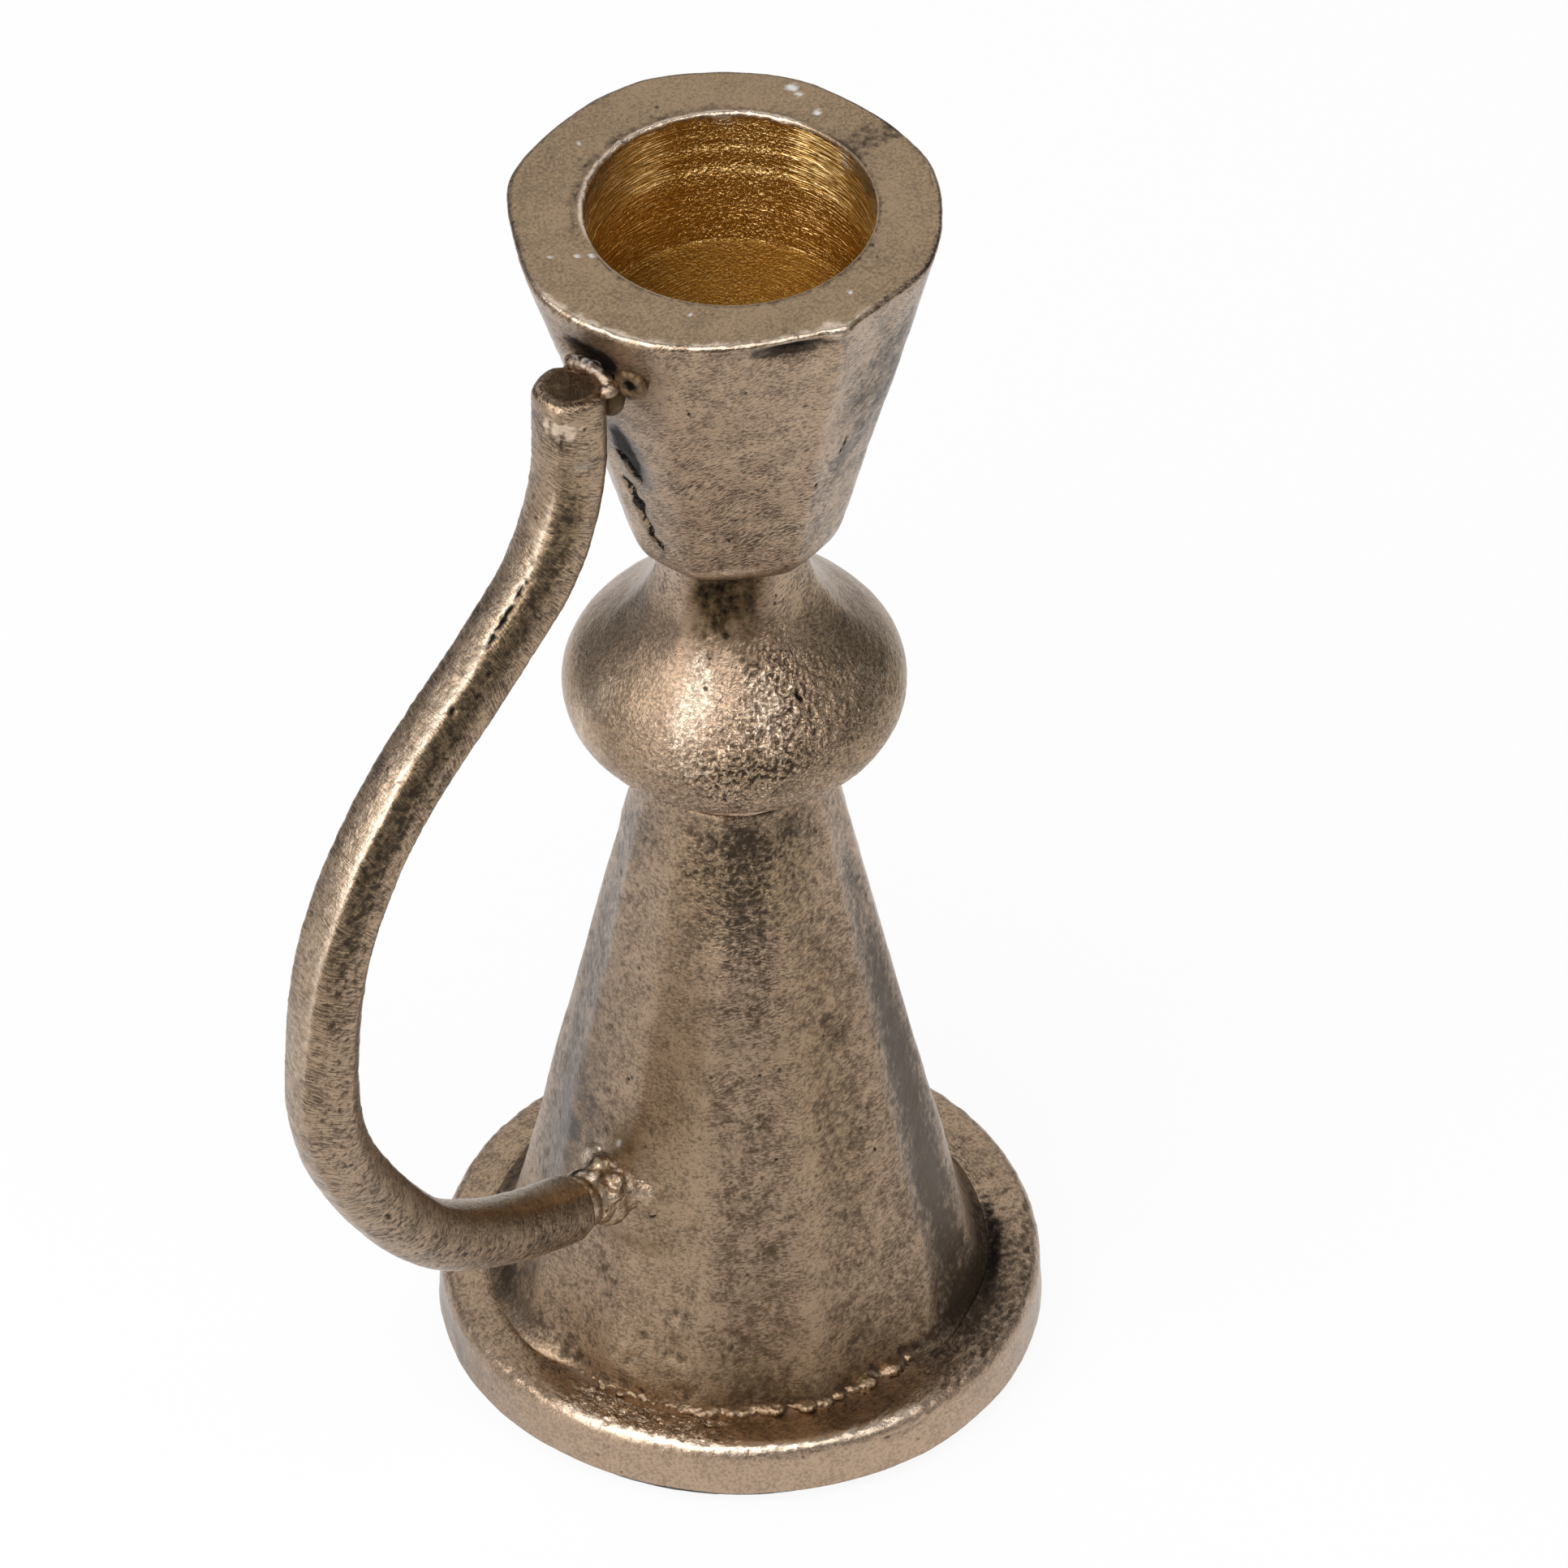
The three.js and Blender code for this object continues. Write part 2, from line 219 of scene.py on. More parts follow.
def smoothBetween(values, slope, k, s, gap):  # share s of the way from value k to the next
    return ((2 * s ** 3 - 3 * s ** 2 + 1) * values[k] + (s ** 3 - 2 * s ** 2 + s) * gap * slope[k]
            + (3 * s ** 2 - 2 * s ** 3) * values[k + 1] + (s ** 3 - s ** 2) * gap * slope[k + 1])


def smoothLine(stations, count):  # evenly spaced points on a smooth line through the stations
    points = np.array(stations, float)
    gap = np.sqrt(np.linalg.norm(np.diff(points, axis=0), axis=1))
    knots = np.append(0, np.cumsum(gap))
    slope = np.gradient(points, knots, axis=0)
    at = np.linspace(0, knots[-1], 6000)
    k = np.clip(np.searchsorted(knots, at, side="right") - 1, 0, len(gap) - 1)
    share = ((at - knots[k]) / gap[k])[:, None]
    return runAlong(smoothBetween(points, slope, k, share, gap[k][:, None]), count)


def roundAngles(sides, crowd=0.32):  # closer together on the side that the camera sees
    even = np.linspace(-np.pi, np.pi, sides, endpoint=False)
    return angleOf(0) + even - crowd * np.sin(even)


def dressedFlats(angles, ridges, crisp):  # share of the ridges' radius, for flats with rounded ridges
    ridges = np.array(ridges, float)
    ends = np.append(ridges[1:], ridges[0] + 360)
    middles = angleOf((ridges + ends) / 2)
    halves = np.radians(ends - ridges) / 2
    reach = np.maximum(np.cos(angles[..., None] - middles), 0) / np.cos(halves)
    return (2 / (reach ** crisp).sum(-1)) ** (1 / crisp)


def aroundOutline(angles, outline):  # smooth radius through (azimuth, radius) points round the axis
    azimuths, radii = np.array(sorted(outline), float).T
    azimuths = np.concatenate([azimuths - 360, azimuths, azimuths + 360])
    radii = np.tile(radii, 3)
    at = (np.degrees(angles) - facingAngle + 180) % 360 - 180
    k = np.clip(np.searchsorted(azimuths, at, side="right") - 1, 1, len(azimuths) - 3)
    gap = azimuths[k + 1] - azimuths[k]
    return smoothBetween(radii, np.gradient(radii, azimuths), k, (at - azimuths[k]) / gap, gap)


def sweep(outline, sides):  # angle, radius and height of each point of an outline turned round the axis
    angles = np.broadcast_to(roundAngles(sides)[None], (len(outline), sides))
    radii, heights = (np.broadcast_to(outline[:, k:k + 1], angles.shape) for k in (0, 1))
    return angles, radii, heights


def turnedGrid(radii, heights, angles):
    return np.stack([radii * np.cos(angles), radii * np.sin(angles), heights], -1)


def gridNormals(grid, loop):
    around = np.roll(grid, -1, 1) - np.roll(grid, 1, 1)
    along = np.roll(grid, -1, 0) - np.roll(grid, 1, 0)
    if not loop:
        along[0], along[-1] = grid[1] - grid[0], grid[-1] - grid[-2]
    normals = np.cross(around, along)
    return normals / np.maximum(np.linalg.norm(normals, axis=-1, keepdims=True), 1e-9)


def hollows(height, depth, passes=6):  # 0 to 1, how far each point lies under the mean of its neighbours
    mean = height.copy()
    for _ in range(passes):
        mean = (np.roll(mean, 1, 0) + np.roll(mean, -1, 0) + np.roll(mean, 1, 1) + np.roll(mean, -1, 1)) / 4
    return np.clip((mean - height) / depth, 0, 1)


def strokeLay(outline, strength, seed, lean=(0.0, 0.0)):
    # across and along the surface in mm for brush strokes, and their strength; lean slants and bends them
    angles, radii, heights = sweep(outline, strength.shape[1])
    along = np.append(0, np.cumsum(np.linalg.norm(np.diff(outline, axis=0), axis=1)))[:, None]
    away = turnFrom(angles, 0)
    across = away * radii
    points = turnedGrid(radii, heights, angles)
    bend = 0.8 * lumps(points, 4.5, seed) + 0.25 * lumps(points, 1.6, seed + 1)
    fade = 1 - easeStep(2.5, 2.9, np.abs(away))  # none at the seam, at the back
    return np.stack([across, along + bend - lean[0] * across - lean[1] * across ** 2, strength * fade], -1)


def loopStart(outer, inner, figures):  # outline and fields of a piece that closes on itself
    outline = np.vstack([outer, inner])
    outside = (np.arange(len(outline))[:, None] < len(outer)) * 1.0
    fields = sweep(outline, figures["sides"])
    return outline, outside, *fields, spotFields(fields[0], fields[2], figures["stainsAndLight"])


def newPiece(name, points, faces, lay, strokes, marks):
    mesh = bpy.data.meshes.new(name)
    mesh.from_pydata((points * mm).tolist(), [], faces)
    mesh.polygons.foreach_set("use_smooth", np.ones(len(mesh.polygons), bool))
    for key, vectors in (("lay", lay), ("strokes", strokes)):
        mesh.attributes.new(key, "FLOAT_VECTOR", "POINT").data.foreach_set("vector", vectors.reshape(-1))
    for key in markNames:
        values = np.broadcast_to(np.clip(marks.get(key, 0.0), 0, 1), len(points)).astype(np.float32)
        mesh.attributes.new(key, "FLOAT", "POINT").data.foreach_set("value", values)
    return addObject(name, mesh)


def makeSkin(name, grid, marks, strokes=None, lay=None, loop=False):
    # a loop closes on itself; otherwise the first and last rings draw in to one point each
    rings, sides = grid.shape[:2]
    lay = grid if lay is None else lay
    strokes = np.zeros(grid.shape) if strokes is None else strokes
    keep = np.arange(rings * sides)
    first = np.arange(rings if loop else rings - 1)[:, None] * sides
    column = np.arange(sides)[None]
    after = (column + 1) % sides
    above = (first + sides) % (rings * sides)
    quads = np.stack([first + column, first + after, above + after, above + column], -1).reshape(-1, 4)
    faces = quads.tolist()
    if not loop:
        keep = np.arange(sides - 1, (rings - 1) * sides + 1)
        inner = np.clip(quads, sides - 1, (rings - 1) * sides) - (sides - 1)
        low, high = inner[:sides], inner[-sides:]
        faces = low[:, 1:].tolist() + inner[sides:-sides].tolist() + high[:, :3].tolist()
    points, lay, strokes = (array.reshape(-1, 3)[keep] for array in (grid, lay, strokes))
    kept = {key: np.broadcast_to(value, (rings, sides)).reshape(-1)[keep] for key, value in marks.items()}
    return newPiece(name, points, faces, lay, strokes, kept)


def fuseLumps(name, balls, voxel, passes):
    # balls of metal run together into one skin: (centre, three radii) each
    shape = bmesh.new()
    for centre, radii in balls:
        scale = Matrix.Diagonal((*[r * mm for r in radii], 1))
        bmesh.ops.create_icosphere(shape, subdivisions=3, radius=1,
                                   matrix=Matrix.Translation([c * mm for c in centre]) @ scale)
    mesh = bpy.data.meshes.new(name)
    shape.to_mesh(mesh)
    shape.free()
    rough = addObject(name + "_rough", mesh)
    fuse = rough.modifiers.new("fuse", "REMESH")
    fuse.mode = "VOXEL"
    fuse.voxel_size = voxel * mm
    ease = rough.modifiers.new("ease", "SMOOTH")
    ease.factor, ease.iterations = 0.5, passes
    whole = bpy.data.meshes.new_from_object(rough.evaluated_get(bpy.context.evaluated_depsgraph_get()))
    bpy.data.objects.remove(rough)
    bpy.data.meshes.remove(mesh)
    count = len(whole.vertices)
    points, normals = np.zeros(count * 3), np.zeros(count * 3, np.float32)
    whole.vertices.foreach_get("co", points)
    whole.vertex_normals.foreach_get("vector", normals)
    faces = [list(face.vertices) for face in whole.polygons]
    bpy.data.meshes.remove(whole)
    return points.reshape(-1, 3) / mm, normals.reshape(-1, 3).astype(float), faces


def settle(piece, node, material):
    piece.data.materials.append(material)
    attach(piece, "root")
    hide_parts(node)
    print(piece.name, "made with", len(piece.data.polygons), "faces")


# Node helpers
def feed(tree, socket, value):
    if isinstance(value, bpy.types.NodeSocket):
        tree.links.new(value, socket)
    else:
        socket.default_value = value


def put(tree, kind, settings=None, **sockets):
    made = tree.nodes.new(kind)
    for key, value in (settings or {}).items():
        setattr(made, key, value)
    for key, value in sockets.items():
        feed(tree, made.inputs[key.replace("_", " ")], value)
    return made


def sums(tree, operation, first, second=0.0):
    made = put(tree, "ShaderNodeMath", dict(operation=operation))
    feed(tree, made.inputs[0], first)
    feed(tree, made.inputs[1], second)
    return made.outputs[0]


def plus(tree, first, second):
    return sums(tree, "ADD", first, second)


def minus(tree, first, second):
    return sums(tree, "SUBTRACT", first, second)


def times(tree, first, second):
    return sums(tree, "MULTIPLY", first, second)


def between(tree, value, low, high, to=(0.0, 1.0)):  # eased share of the way from low to high
    made = put(tree, "ShaderNodeMapRange", dict(interpolation_type="SMOOTHSTEP"), Value=value)
    for key, number in zip((1, 2, 3, 4), (low, high, *to)):
        made.inputs[key].default_value = number
    return made.outputs["Result"]


def blend(tree, share, first, second):  # of two values
    made = put(tree, "ShaderNodeMix", dict(data_type="FLOAT"))
    for key, value in zip((0, 2, 3), (share, first, second)):
        feed(tree, made.inputs[key], value)
    return made.outputs[0]


def tint(tree, share, under, over):
    made = put(tree, "ShaderNodeMix", dict(data_type="RGBA"))
    feed(tree, made.inputs[0], share)
    for key, colour in ((6, under), (7, over)):
        feed(tree, made.inputs[key], (*colour, 1) if isinstance(colour, tuple) else colour)
    return made.outputs[2]


def speckle(tree, vector, size, detail=4.0, rough=0.6, twist=0.0):  # noise with grains of that size in mm
    made = put(tree, "ShaderNodeTexNoise", Vector=vector, Scale=1 / size, Detail=detail,
               Roughness=rough, Distortion=twist)
    return made.outputs[0]


def swing(tree, *figures):  # the same, to both sides of 0
    return minus(tree, speckle(tree, *figures), 0.5)


def streaks(tree, lay, length, width, detail, rough=0.5, twist=0.0):  # noise drawn out along brush strokes
    lines = put(tree, "ShaderNodeCombineXYZ", X=sums(tree, "DIVIDE", lay["X"], length),
                Y=sums(tree, "DIVIDE", lay["Y"], width)).outputs[0]
    made = put(tree, "ShaderNodeTexNoise", dict(noise_dimensions="2D"), Vector=lines, Scale=1.0,
               Detail=detail, Roughness=rough, Distortion=twist)
    return made.outputs[0]


def readMark(tree, name, output="Fac"):
    return put(tree, "ShaderNodeAttribute", dict(attribute_name=name)).outputs[output]


def newGroup(name, vectors, values, outputs):
    tree = bpy.data.node_groups.new(name, "ShaderNodeTree")
    for label in vectors:
        tree.interface.new_socket(label, in_out="INPUT", socket_type="NodeSocketVector")
    for label, value in values.items():
        socket = tree.interface.new_socket(label, in_out="INPUT", socket_type="NodeSocketFloat")
        socket.default_value = value
    for label in outputs:
        tree.interface.new_socket(label, in_out="OUTPUT", socket_type="NodeSocketFloat")
    return tree, tree.nodes.new("NodeGroupInput").outputs, tree.nodes.new("NodeGroupOutput").inputs


def useGroup(tree, group, **sockets):
    return put(tree, "ShaderNodeGroup", dict(node_tree=group), **sockets).outputs


def newMaterial(name):
    material = bpy.data.materials.new(name)
    material.use_nodes = True
    return material, material.node_tree, material.node_tree.nodes["Principled BSDF"]


def dress(tree, shader, colour, rough, height, strength, depth):
    lift = put(tree, "ShaderNodeBump", Strength=strength, Distance=depth * mm, Height=height)
    for key, value in (("Base Color", colour), ("Roughness", rough), ("Normal", lift.outputs[0])):
        feed(tree, shader.inputs[key], value)


# Grain of a sand casting that was brushed: pebbles, short dark strokes and pinholes, with sizes in mm
sand = dict(pebble=0.3, patch=2.4, patchShare=0.4, strokeShare=0.85, fold=0.6, foldFlat=1.7, foldDepth=0.75,
            holesPerMm=0.6, holeEdge=(0.04, 0.17), rare=2.3, fleckEdge=(0.36, 0.58), plainFleck=0.3)


def castGrainGroup():
    tree, given, out = newGroup(
        "castGrain", ["Lay", "Strokes"], dict(Length=0.5, Width=0.12, Pebble=0.5, Pinholes=0.5, Wrinkle=0.0),
        ["Height", "Fleck", "Pinhole"])
    lay = given["Lay"]
    apart = put(tree, "ShaderNodeSeparateXYZ", Vector=given["Strokes"]).outputs
    stroke = streaks(tree, apart, given["Length"], given["Width"], 3.0, 0.6, 0.4)
    pebble = speckle(tree, lay, sand["pebble"], 4, 0.66)
    brushed = blend(tree, times(tree, apart["Z"], sand["strokeShare"]), pebble, stroke)
    level = plus(tree, brushed, times(tree, swing(tree, lay, sand["patch"], 4), sand["patchShare"]))
    cells = put(tree, "ShaderNodeTexVoronoi", Vector=lay, Scale=sand["holesPerMm"], Randomness=1.0)
    rare = between(tree, speckle(tree, lay, sand["rare"], 2), 0.52, 0.64)
    hole = times(tree, between(tree, cells.outputs["Distance"], *sand["holeEdge"], (1, 0)), rare)
    raised = times(tree, plus(tree, pebble, brushed), given["Pebble"])
    flattened = put(tree, "ShaderNodeMapping", Vector=lay, Scale=(1, 1, sand["foldFlat"])).outputs[0]
    fold = between(tree, sums(tree, "ABSOLUTE", swing(tree, flattened, sand["fold"], 3, 0.5, 0.8)), 0.0, 0.12)
    raised = minus(tree, raised, times(tree, fold, times(tree, given["Wrinkle"], sand["foldDepth"])))
    feed(tree, out["Height"], minus(tree, raised, times(tree, hole, given["Pinholes"])))
    amount = plus(tree, times(tree, apart["Z"], 1 - sand["plainFleck"]), sand["plainFleck"])
    feed(tree, out["Fleck"], times(tree, between(tree, level, *sand["fleckEdge"], (1, 0)), amount))
    feed(tree, out["Pinhole"], hole)
    return tree


# A mark broken up by blotches, as patina settles on metal or is rubbed off it; painted shade and painted
# highlights are broken up in the same way
def brokenMarkGroup():
    tree, given, out = newGroup("brokenMark", ["Lay"], dict(Amount=0.5, Blotch=0.5, Speck=0.8), ["Mask"])
    level = plus(tree, given["Amount"], times(tree, swing(tree, given["Lay"], 3.4, 4), given["Blotch"]))
    level = plus(tree, level, times(tree, swing(tree, given["Lay"], 0.7, 5, 0.7), given["Speck"]))
    feed(tree, out["Mask"], between(tree, level, 0.3, 0.75))
    return tree


# A jagged split along a line; Side is the distance from the line as a share of crackReach, 0.5 on it
def splitLineGroup():
    tree, given, out = newGroup("splitLine", ["Lay"], dict(Side=0.0, Jag=1.6), ["Mask"])
    away = times(tree, minus(tree, given["Side"], 0.5), crackReach)
    bend = times(tree, swing(tree, given["Lay"], 1.5, 5, 0.8), given["Jag"])
    wide = between(tree, speckle(tree, given["Lay"], 1.0, 3), 0.35, 0.65, (0.3, 2.4))
    gap = sums(tree, "DIVIDE", sums(tree, "ABSOLUTE", plus(tree, away, bend)), wide)
    feed(tree, out["Mask"], between(tree, gap, 0.07, 0.1, (1, 0)))
    return tree


castGrain = castGrainGroup()
brokenMark = brokenMarkGroup()
splitLine = splitLineGroup()

# Antique brass: colours of the metal as it is clean, dulled, stained and worn; the dark colours also paint
# shade and dark reflections, and the rubbed colour also paints highlights
brass = dict(
    clean=(0.475, 0.342, 0.239), fleck=(0.062, 0.042, 0.029), ochre=(0.33, 0.228, 0.112),
    patina=(0.072, 0.051, 0.035), rubbed=(0.72, 0.575, 0.44), cool=(0.088, 0.083, 0.084),
    scorch=(0.13, 0.080, 0.037), soot=(0.013, 0.011, 0.009), chip=(0.62, 0.60, 0.58))


def brassMaterial(name, length=0.6, width=0.15, pebble=0.5, pinholes=0.4, rough=0.26, bump=0.8):
    material, tree, shader = newMaterial(name)
    lay, strokes = (readMark(tree, key, "Vector") for key in ("lay", "strokes"))
    mark = {key: readMark(tree, key) for key in markNames}
    grain = useGroup(tree, castGrain, Lay=lay, Strokes=strokes, Length=length, Width=width, Pebble=pebble,
                     Pinholes=pinholes, Wrinkle=mark["wrinkle"])
    # dull, worn and burnt are the patina, rubbed and soot marks broken up: stains, wear and soot, with
    # painted shade and painted highlights
    dull, worn, sootAndShadeMask = (
        useGroup(tree, brokenMark, Lay=lay, Amount=mark[key], Blotch=blotch, Speck=speck)["Mask"]
        for key, blotch, speck in (("patina", 0.45, 1.1), ("rubbed", 0.2, 0.7), ("soot", 0.2, 0.7)))
    split = useGroup(tree, splitLine, Lay=lay, Side=mark["crack"])["Mask"]
    patchy = between(tree, speckle(tree, lay, 1.6, 5, 0.65), 0.36, 0.6, (0.45, 1.0))
    colour = brass["clean"]
    for share, over in ((mark["ochre"], "ochre"), (grain["Fleck"], "fleck"), (dull, "patina"),
                        (times(tree, mark["cool"], patchy), "cool"), (mark["scorch"], "scorch"),
                        (worn, "rubbed"), (grain["Pinhole"], "patina"),
                        (sums(tree, "MAXIMUM", sootAndShadeMask, split), "soot"), (mark["chip"], "chip")):
        colour = tint(tree, share, colour, brass[over])
    for share, change in ((dull, 0.12), (worn, -0.05), (mark["scorch"], 0.24), (sootAndShadeMask, 0.3),
                          (mark["wrinkle"], -0.06), (mark["chip"], 0.25)):
        rough = plus(tree, rough, times(tree, share, change))
    feed(tree, shader.inputs["Metallic"], minus(tree, 1.0, mark["chip"]))
    dress(tree, shader, colour, rough, minus(tree, grain["Height"], split), bump, 0.1)
    return material


# Bare gold-coloured brass of the turned socket: fine rings, torn specks and grey tarnish, with painted shade
# deep inside
turned = dict(metal=(0.92, 0.70, 0.35), shade=(0.53, 0.32, 0.095), deep=(0.23, 0.124, 0.027),
              tarnish=(0.12, 0.095, 0.068), ringLength=3.0, ringWidth=0.16, speck=0.3)


def turnedMaterial():
    material, tree, shader = newMaterial("turnedBrass")
    shader.inputs["Metallic"].default_value = 1
    lay, strokes = (readMark(tree, key, "Vector") for key in ("lay", "strokes"))
    stain, chipped, deep = (readMark(tree, key) for key in ("patina", "chip", "ochre"))
    apart = put(tree, "ShaderNodeSeparateXYZ", Vector=strokes).outputs
    ring = streaks(tree, apart, turned["ringLength"], turned["ringWidth"], 2.0)
    cut = blend(tree, apart["Z"], speckle(tree, lay, turned["speck"], 3, 0.6), ring)
    grey = useGroup(tree, brokenMark, Lay=lay, Amount=stain, Blotch=0.8, Speck=0.6)["Mask"]
    colour = tint(tree, between(tree, cut, 0.46, 0.66, (1, 0)), turned["metal"], turned["shade"])
    # darker amber deeper in the socket: painted shade
    colour = tint(tree, deep, colour, turned["deep"])
    colour = tint(tree, grey, colour, turned["tarnish"])
    colour = tint(tree, chipped, colour, brass["chip"])
    dress(tree, shader, colour, between(tree, grey, 0.0, 1.0, (0.2, 0.42)), cut, 1.0, 0.3)
    return material


castBrass = brassMaterial("castBrass")
rodBrass = brassMaterial("rodBrass", length=1.3, width=0.12, pebble=0.7, rough=0.25)
weldBrass = brassMaterial("weldBrass", pebble=0.6, pinholes=0.6)
turnedBrass = turnedMaterial()
print("brass mixed")

# Heights of the stack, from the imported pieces
cupHeight, coneHeight = 33.8, 57.1
socketFloor = next(mount for mount in frame["record"]["mounts"] if mount["name"] == "socket_floor")
rimZ = boxTop("candle_cup")
cupFloorZ = socketFloor["pos_m"][2] / mm
cupLowZ = rimZ - cupHeight
coneTopZ = boxTop("cone_stem")
coneLowZ = coneTopZ - coneHeight
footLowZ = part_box("foot")[0].z / mm
footSeatZ = coneLowZ - 0.3
footDishZ = footSeatZ + 1.3
seatGap = 0.15  # half of what the solids leave between two stacked castings
studRadius = 2.8

# Candle cup. Stains and painted light and shade are azimuth, height, width in degrees, height in mm and
# strength, here and below.
cup = dict(
    neck=6.0, waist=9.7, waistRise=4.5, rim=17.7, socket=11.5, edge=0.5, sides=400, studDepth=11.3,
    ledges=[(3.3, 0.1), (5.5, 0.2)],  # depth below the rim, width of the step in the bore
    ridges=[-157, -104, -54, -20, 32, 66, 109, 159], crisp=60, flatShare=0.65,
    outline=[(-157, 17.6), (-133, 17.5), (-104, 18.0), (-77, 17.6), (-54, 18.2), (-35, 18.0), (-11, 17.35),
             (20, 16.9), (27, 16.95), (32, 17.2), (37, 16.95), (46, 16.75), (66, 17.2), (90, 17.0),
             (130, 16.8), (180, 17.25)],
    skin=[(0.13, 9, 5), (0.05, 2.6, 9), (0.02, 0.8, 14)],  # height, size and seed of its lumps
    # the scoop under the front of the rim and the swellings under the welds
    swells=[(17, rimZ - 1.5, 11, 1.0, -0.75), (29, rimZ - 1.1, 3.5, 1.1, 0.22), (-44, 113.9, 7, 1.6, 0.45),
            (-43, 117.0, 7, 1.2, -0.55), (-31, 114.6, 6, 1.8, 0.3)],
    crackRadius=11.3,
    cracks=[[(-43.4, 104.0), (-42.4, 103.0), (-41.2, 102.2), (-39.2, 100.9)],
            [(-47.5, 100.0), (-45, 98.9), (-43.4, 97.4), (-44, 95.6), (-43.0, 94.0), (-41, 92.8),
             (-37, 92.1)]],
    # azimuth, distance from the axis and size of the chips in the rim
    chips=[(161, 15.6, 0.5), (158, 15.0, 0.3), (148.6, 13.7, 0.35), (42.4, 13.9, 0.22), (-65, 13.2, 0.25),
           (-68, 15.4, 0.2), (-14, 13.1, 0.15), (-124, 14.3, 0.18), (-63, 12.2, 0.25)],
    # azimuth, height, width in degrees, height in mm and depth of pits in the flank
    pits=[(45, 104.6, 1.0, 0.7, 0.12), (43.5, 103.6, 0.7, 0.4, 0.1), (36.2, 104, 1.0, 0.35, 0.1),
          (34.3, 100.5, 1.2, 0.5, 0.12), (-13, 112.4, 0.8, 0.25, 0.1), (-2, 94.6, 1.3, 0.3, 0.12),
          (6, 95, 0.9, 0.3, 0.1)],
    strokeLean=(0.45, -0.028),  # slant and bend of the brush strokes
    stainsAndLight=dict(
        # the soot and patina at azimuth -43 to -35 near height 117 are painted shadow in the hollow behind
        # the upper bead; the soot and patina at azimuth 17 and 18 under the rim are a painted dark reflection
        # in the scoop
        soot=[(-43, 117.2, 9, 1.9, 0.75), (-35, 117.0, 4, 1.6, 0.55), (18, rimZ - 1.3, 11, 0.8, 0.72),
              (-41, 105.6, 5, 3.0, 0.85), (-37.4, 102.8, 3.6, 2.4, 0.7)],
        scorch=[(-40, 117.6, 11, 2.2, 0.85), (-28, 113.8, 6, 2.4, 0.35), (-25, 116.4, 6, 1.8, 0.4)],
        patina=[(-42, 117.2, 10, 2.2, 0.5), (-6, 100, 16, 6, 0.1), (38, 99, 9, 4, 0.16),
                (60, 110, 20, 9, 0.36), (46, 103, 7, 6, 0.14), (17, rimZ - 1.4, 12, 1.0, 0.4),
                (127, rimZ, 7, 1, 0.3), (-40, 104, 5, 3, 0.15), (0, 89.6, 40, 1.6, -0.2)],
        rubbed=[(29, rimZ - 0.6, 3, 0.8, 0.5), (0, 89.6, 40, 1.6, 0.7)],
        # the soot and cool marks at azimuth -41 to -36 below height 106 are painted shade beside the rod,
        # over the crack's dark stain; the cool marks at -78 and 66 and the patina at 60 are painted shade on
        # the cup's sides
        cool=[(-41, 105.6, 7, 3.6, 1.2), (-36.4, 102.6, 4.6, 3.0, 1.0), (-41, 95.5, 3, 2.4, 0.6),
              (-78, 112, 16, 9, 0.45), (66, 106, 16, 10, 0.4)],
        wrinkle=[(-5, 98, 18, 6, 0.3), (19, rimZ - 1.2, 9, 0.8, 0.8)],
        lipChips=[(-178, rimZ - 0.7, 4, 0.5, 0.6), (127, rimZ - 1.1, 2.5, 0.9, 0.6)],
        strokes=[(-4, 99, 19, 8, 0.6), (35, 98, 18, 7, 0.3), (0, 90, 60, 2, 0.4)]))


def cupRuns():  # stretches of the outline, from the stud's hole round to the socket's floor
    bottom = cupLowZ - seatGap
    neck, rim = cup["neck"], cup["rim"]
    flankTop = rimZ - cup["edge"]
    waist = (cup["waist"], cupLowZ + cup["waistRise"])
    bore = cup["socket"] + 0.1
    lip = bore + 0.3
    flatRim = rim - 0.6
    studTop = cupLowZ + cup["studDepth"]
    wall = [(bore, rimZ - 0.35)]
    for depth, step in cup["ledges"]:
        wall += [(bore, rimZ - depth), (bore - step, rimZ - depth - 0.12)]
        bore -= step
    wall.append((bore, cupFloorZ + 0.01))
    corner = (bore - 0.01, cupFloorZ)
    return dict(
        studTop=runAlong([(0, studTop), (studRadius, studTop)], 3),
        studWall=runAlong([(studRadius, studTop), (studRadius, bottom)], 4),
        seat=runAlong([(studRadius, bottom), (neck, bottom)], 3),
        neck=curve((neck, bottom), (neck + 1.9, bottom + 0.4), (waist[0] - 0.5, bottom + 2), waist, 22),
        flank=runAlong([waist, (rim, flankTop)], 128),
        edge=curve((rim, flankTop), (rim + 0.05, rimZ - 0.2), (rim - 0.2, rimZ), (flatRim, rimZ), 8),
        rim=runAlong([(flatRim, rimZ), (lip, rimZ)], 16),
        lip=curve((lip, rimZ), (lip - 0.2, rimZ + 0.05), (wall[0][0], rimZ), wall[0], 6),
        wall=runAlong(wall, 40),
        corner=runAlong([wall[-1], corner], 2),
        floor=runAlong([corner, (0, cupFloorZ)], 20))


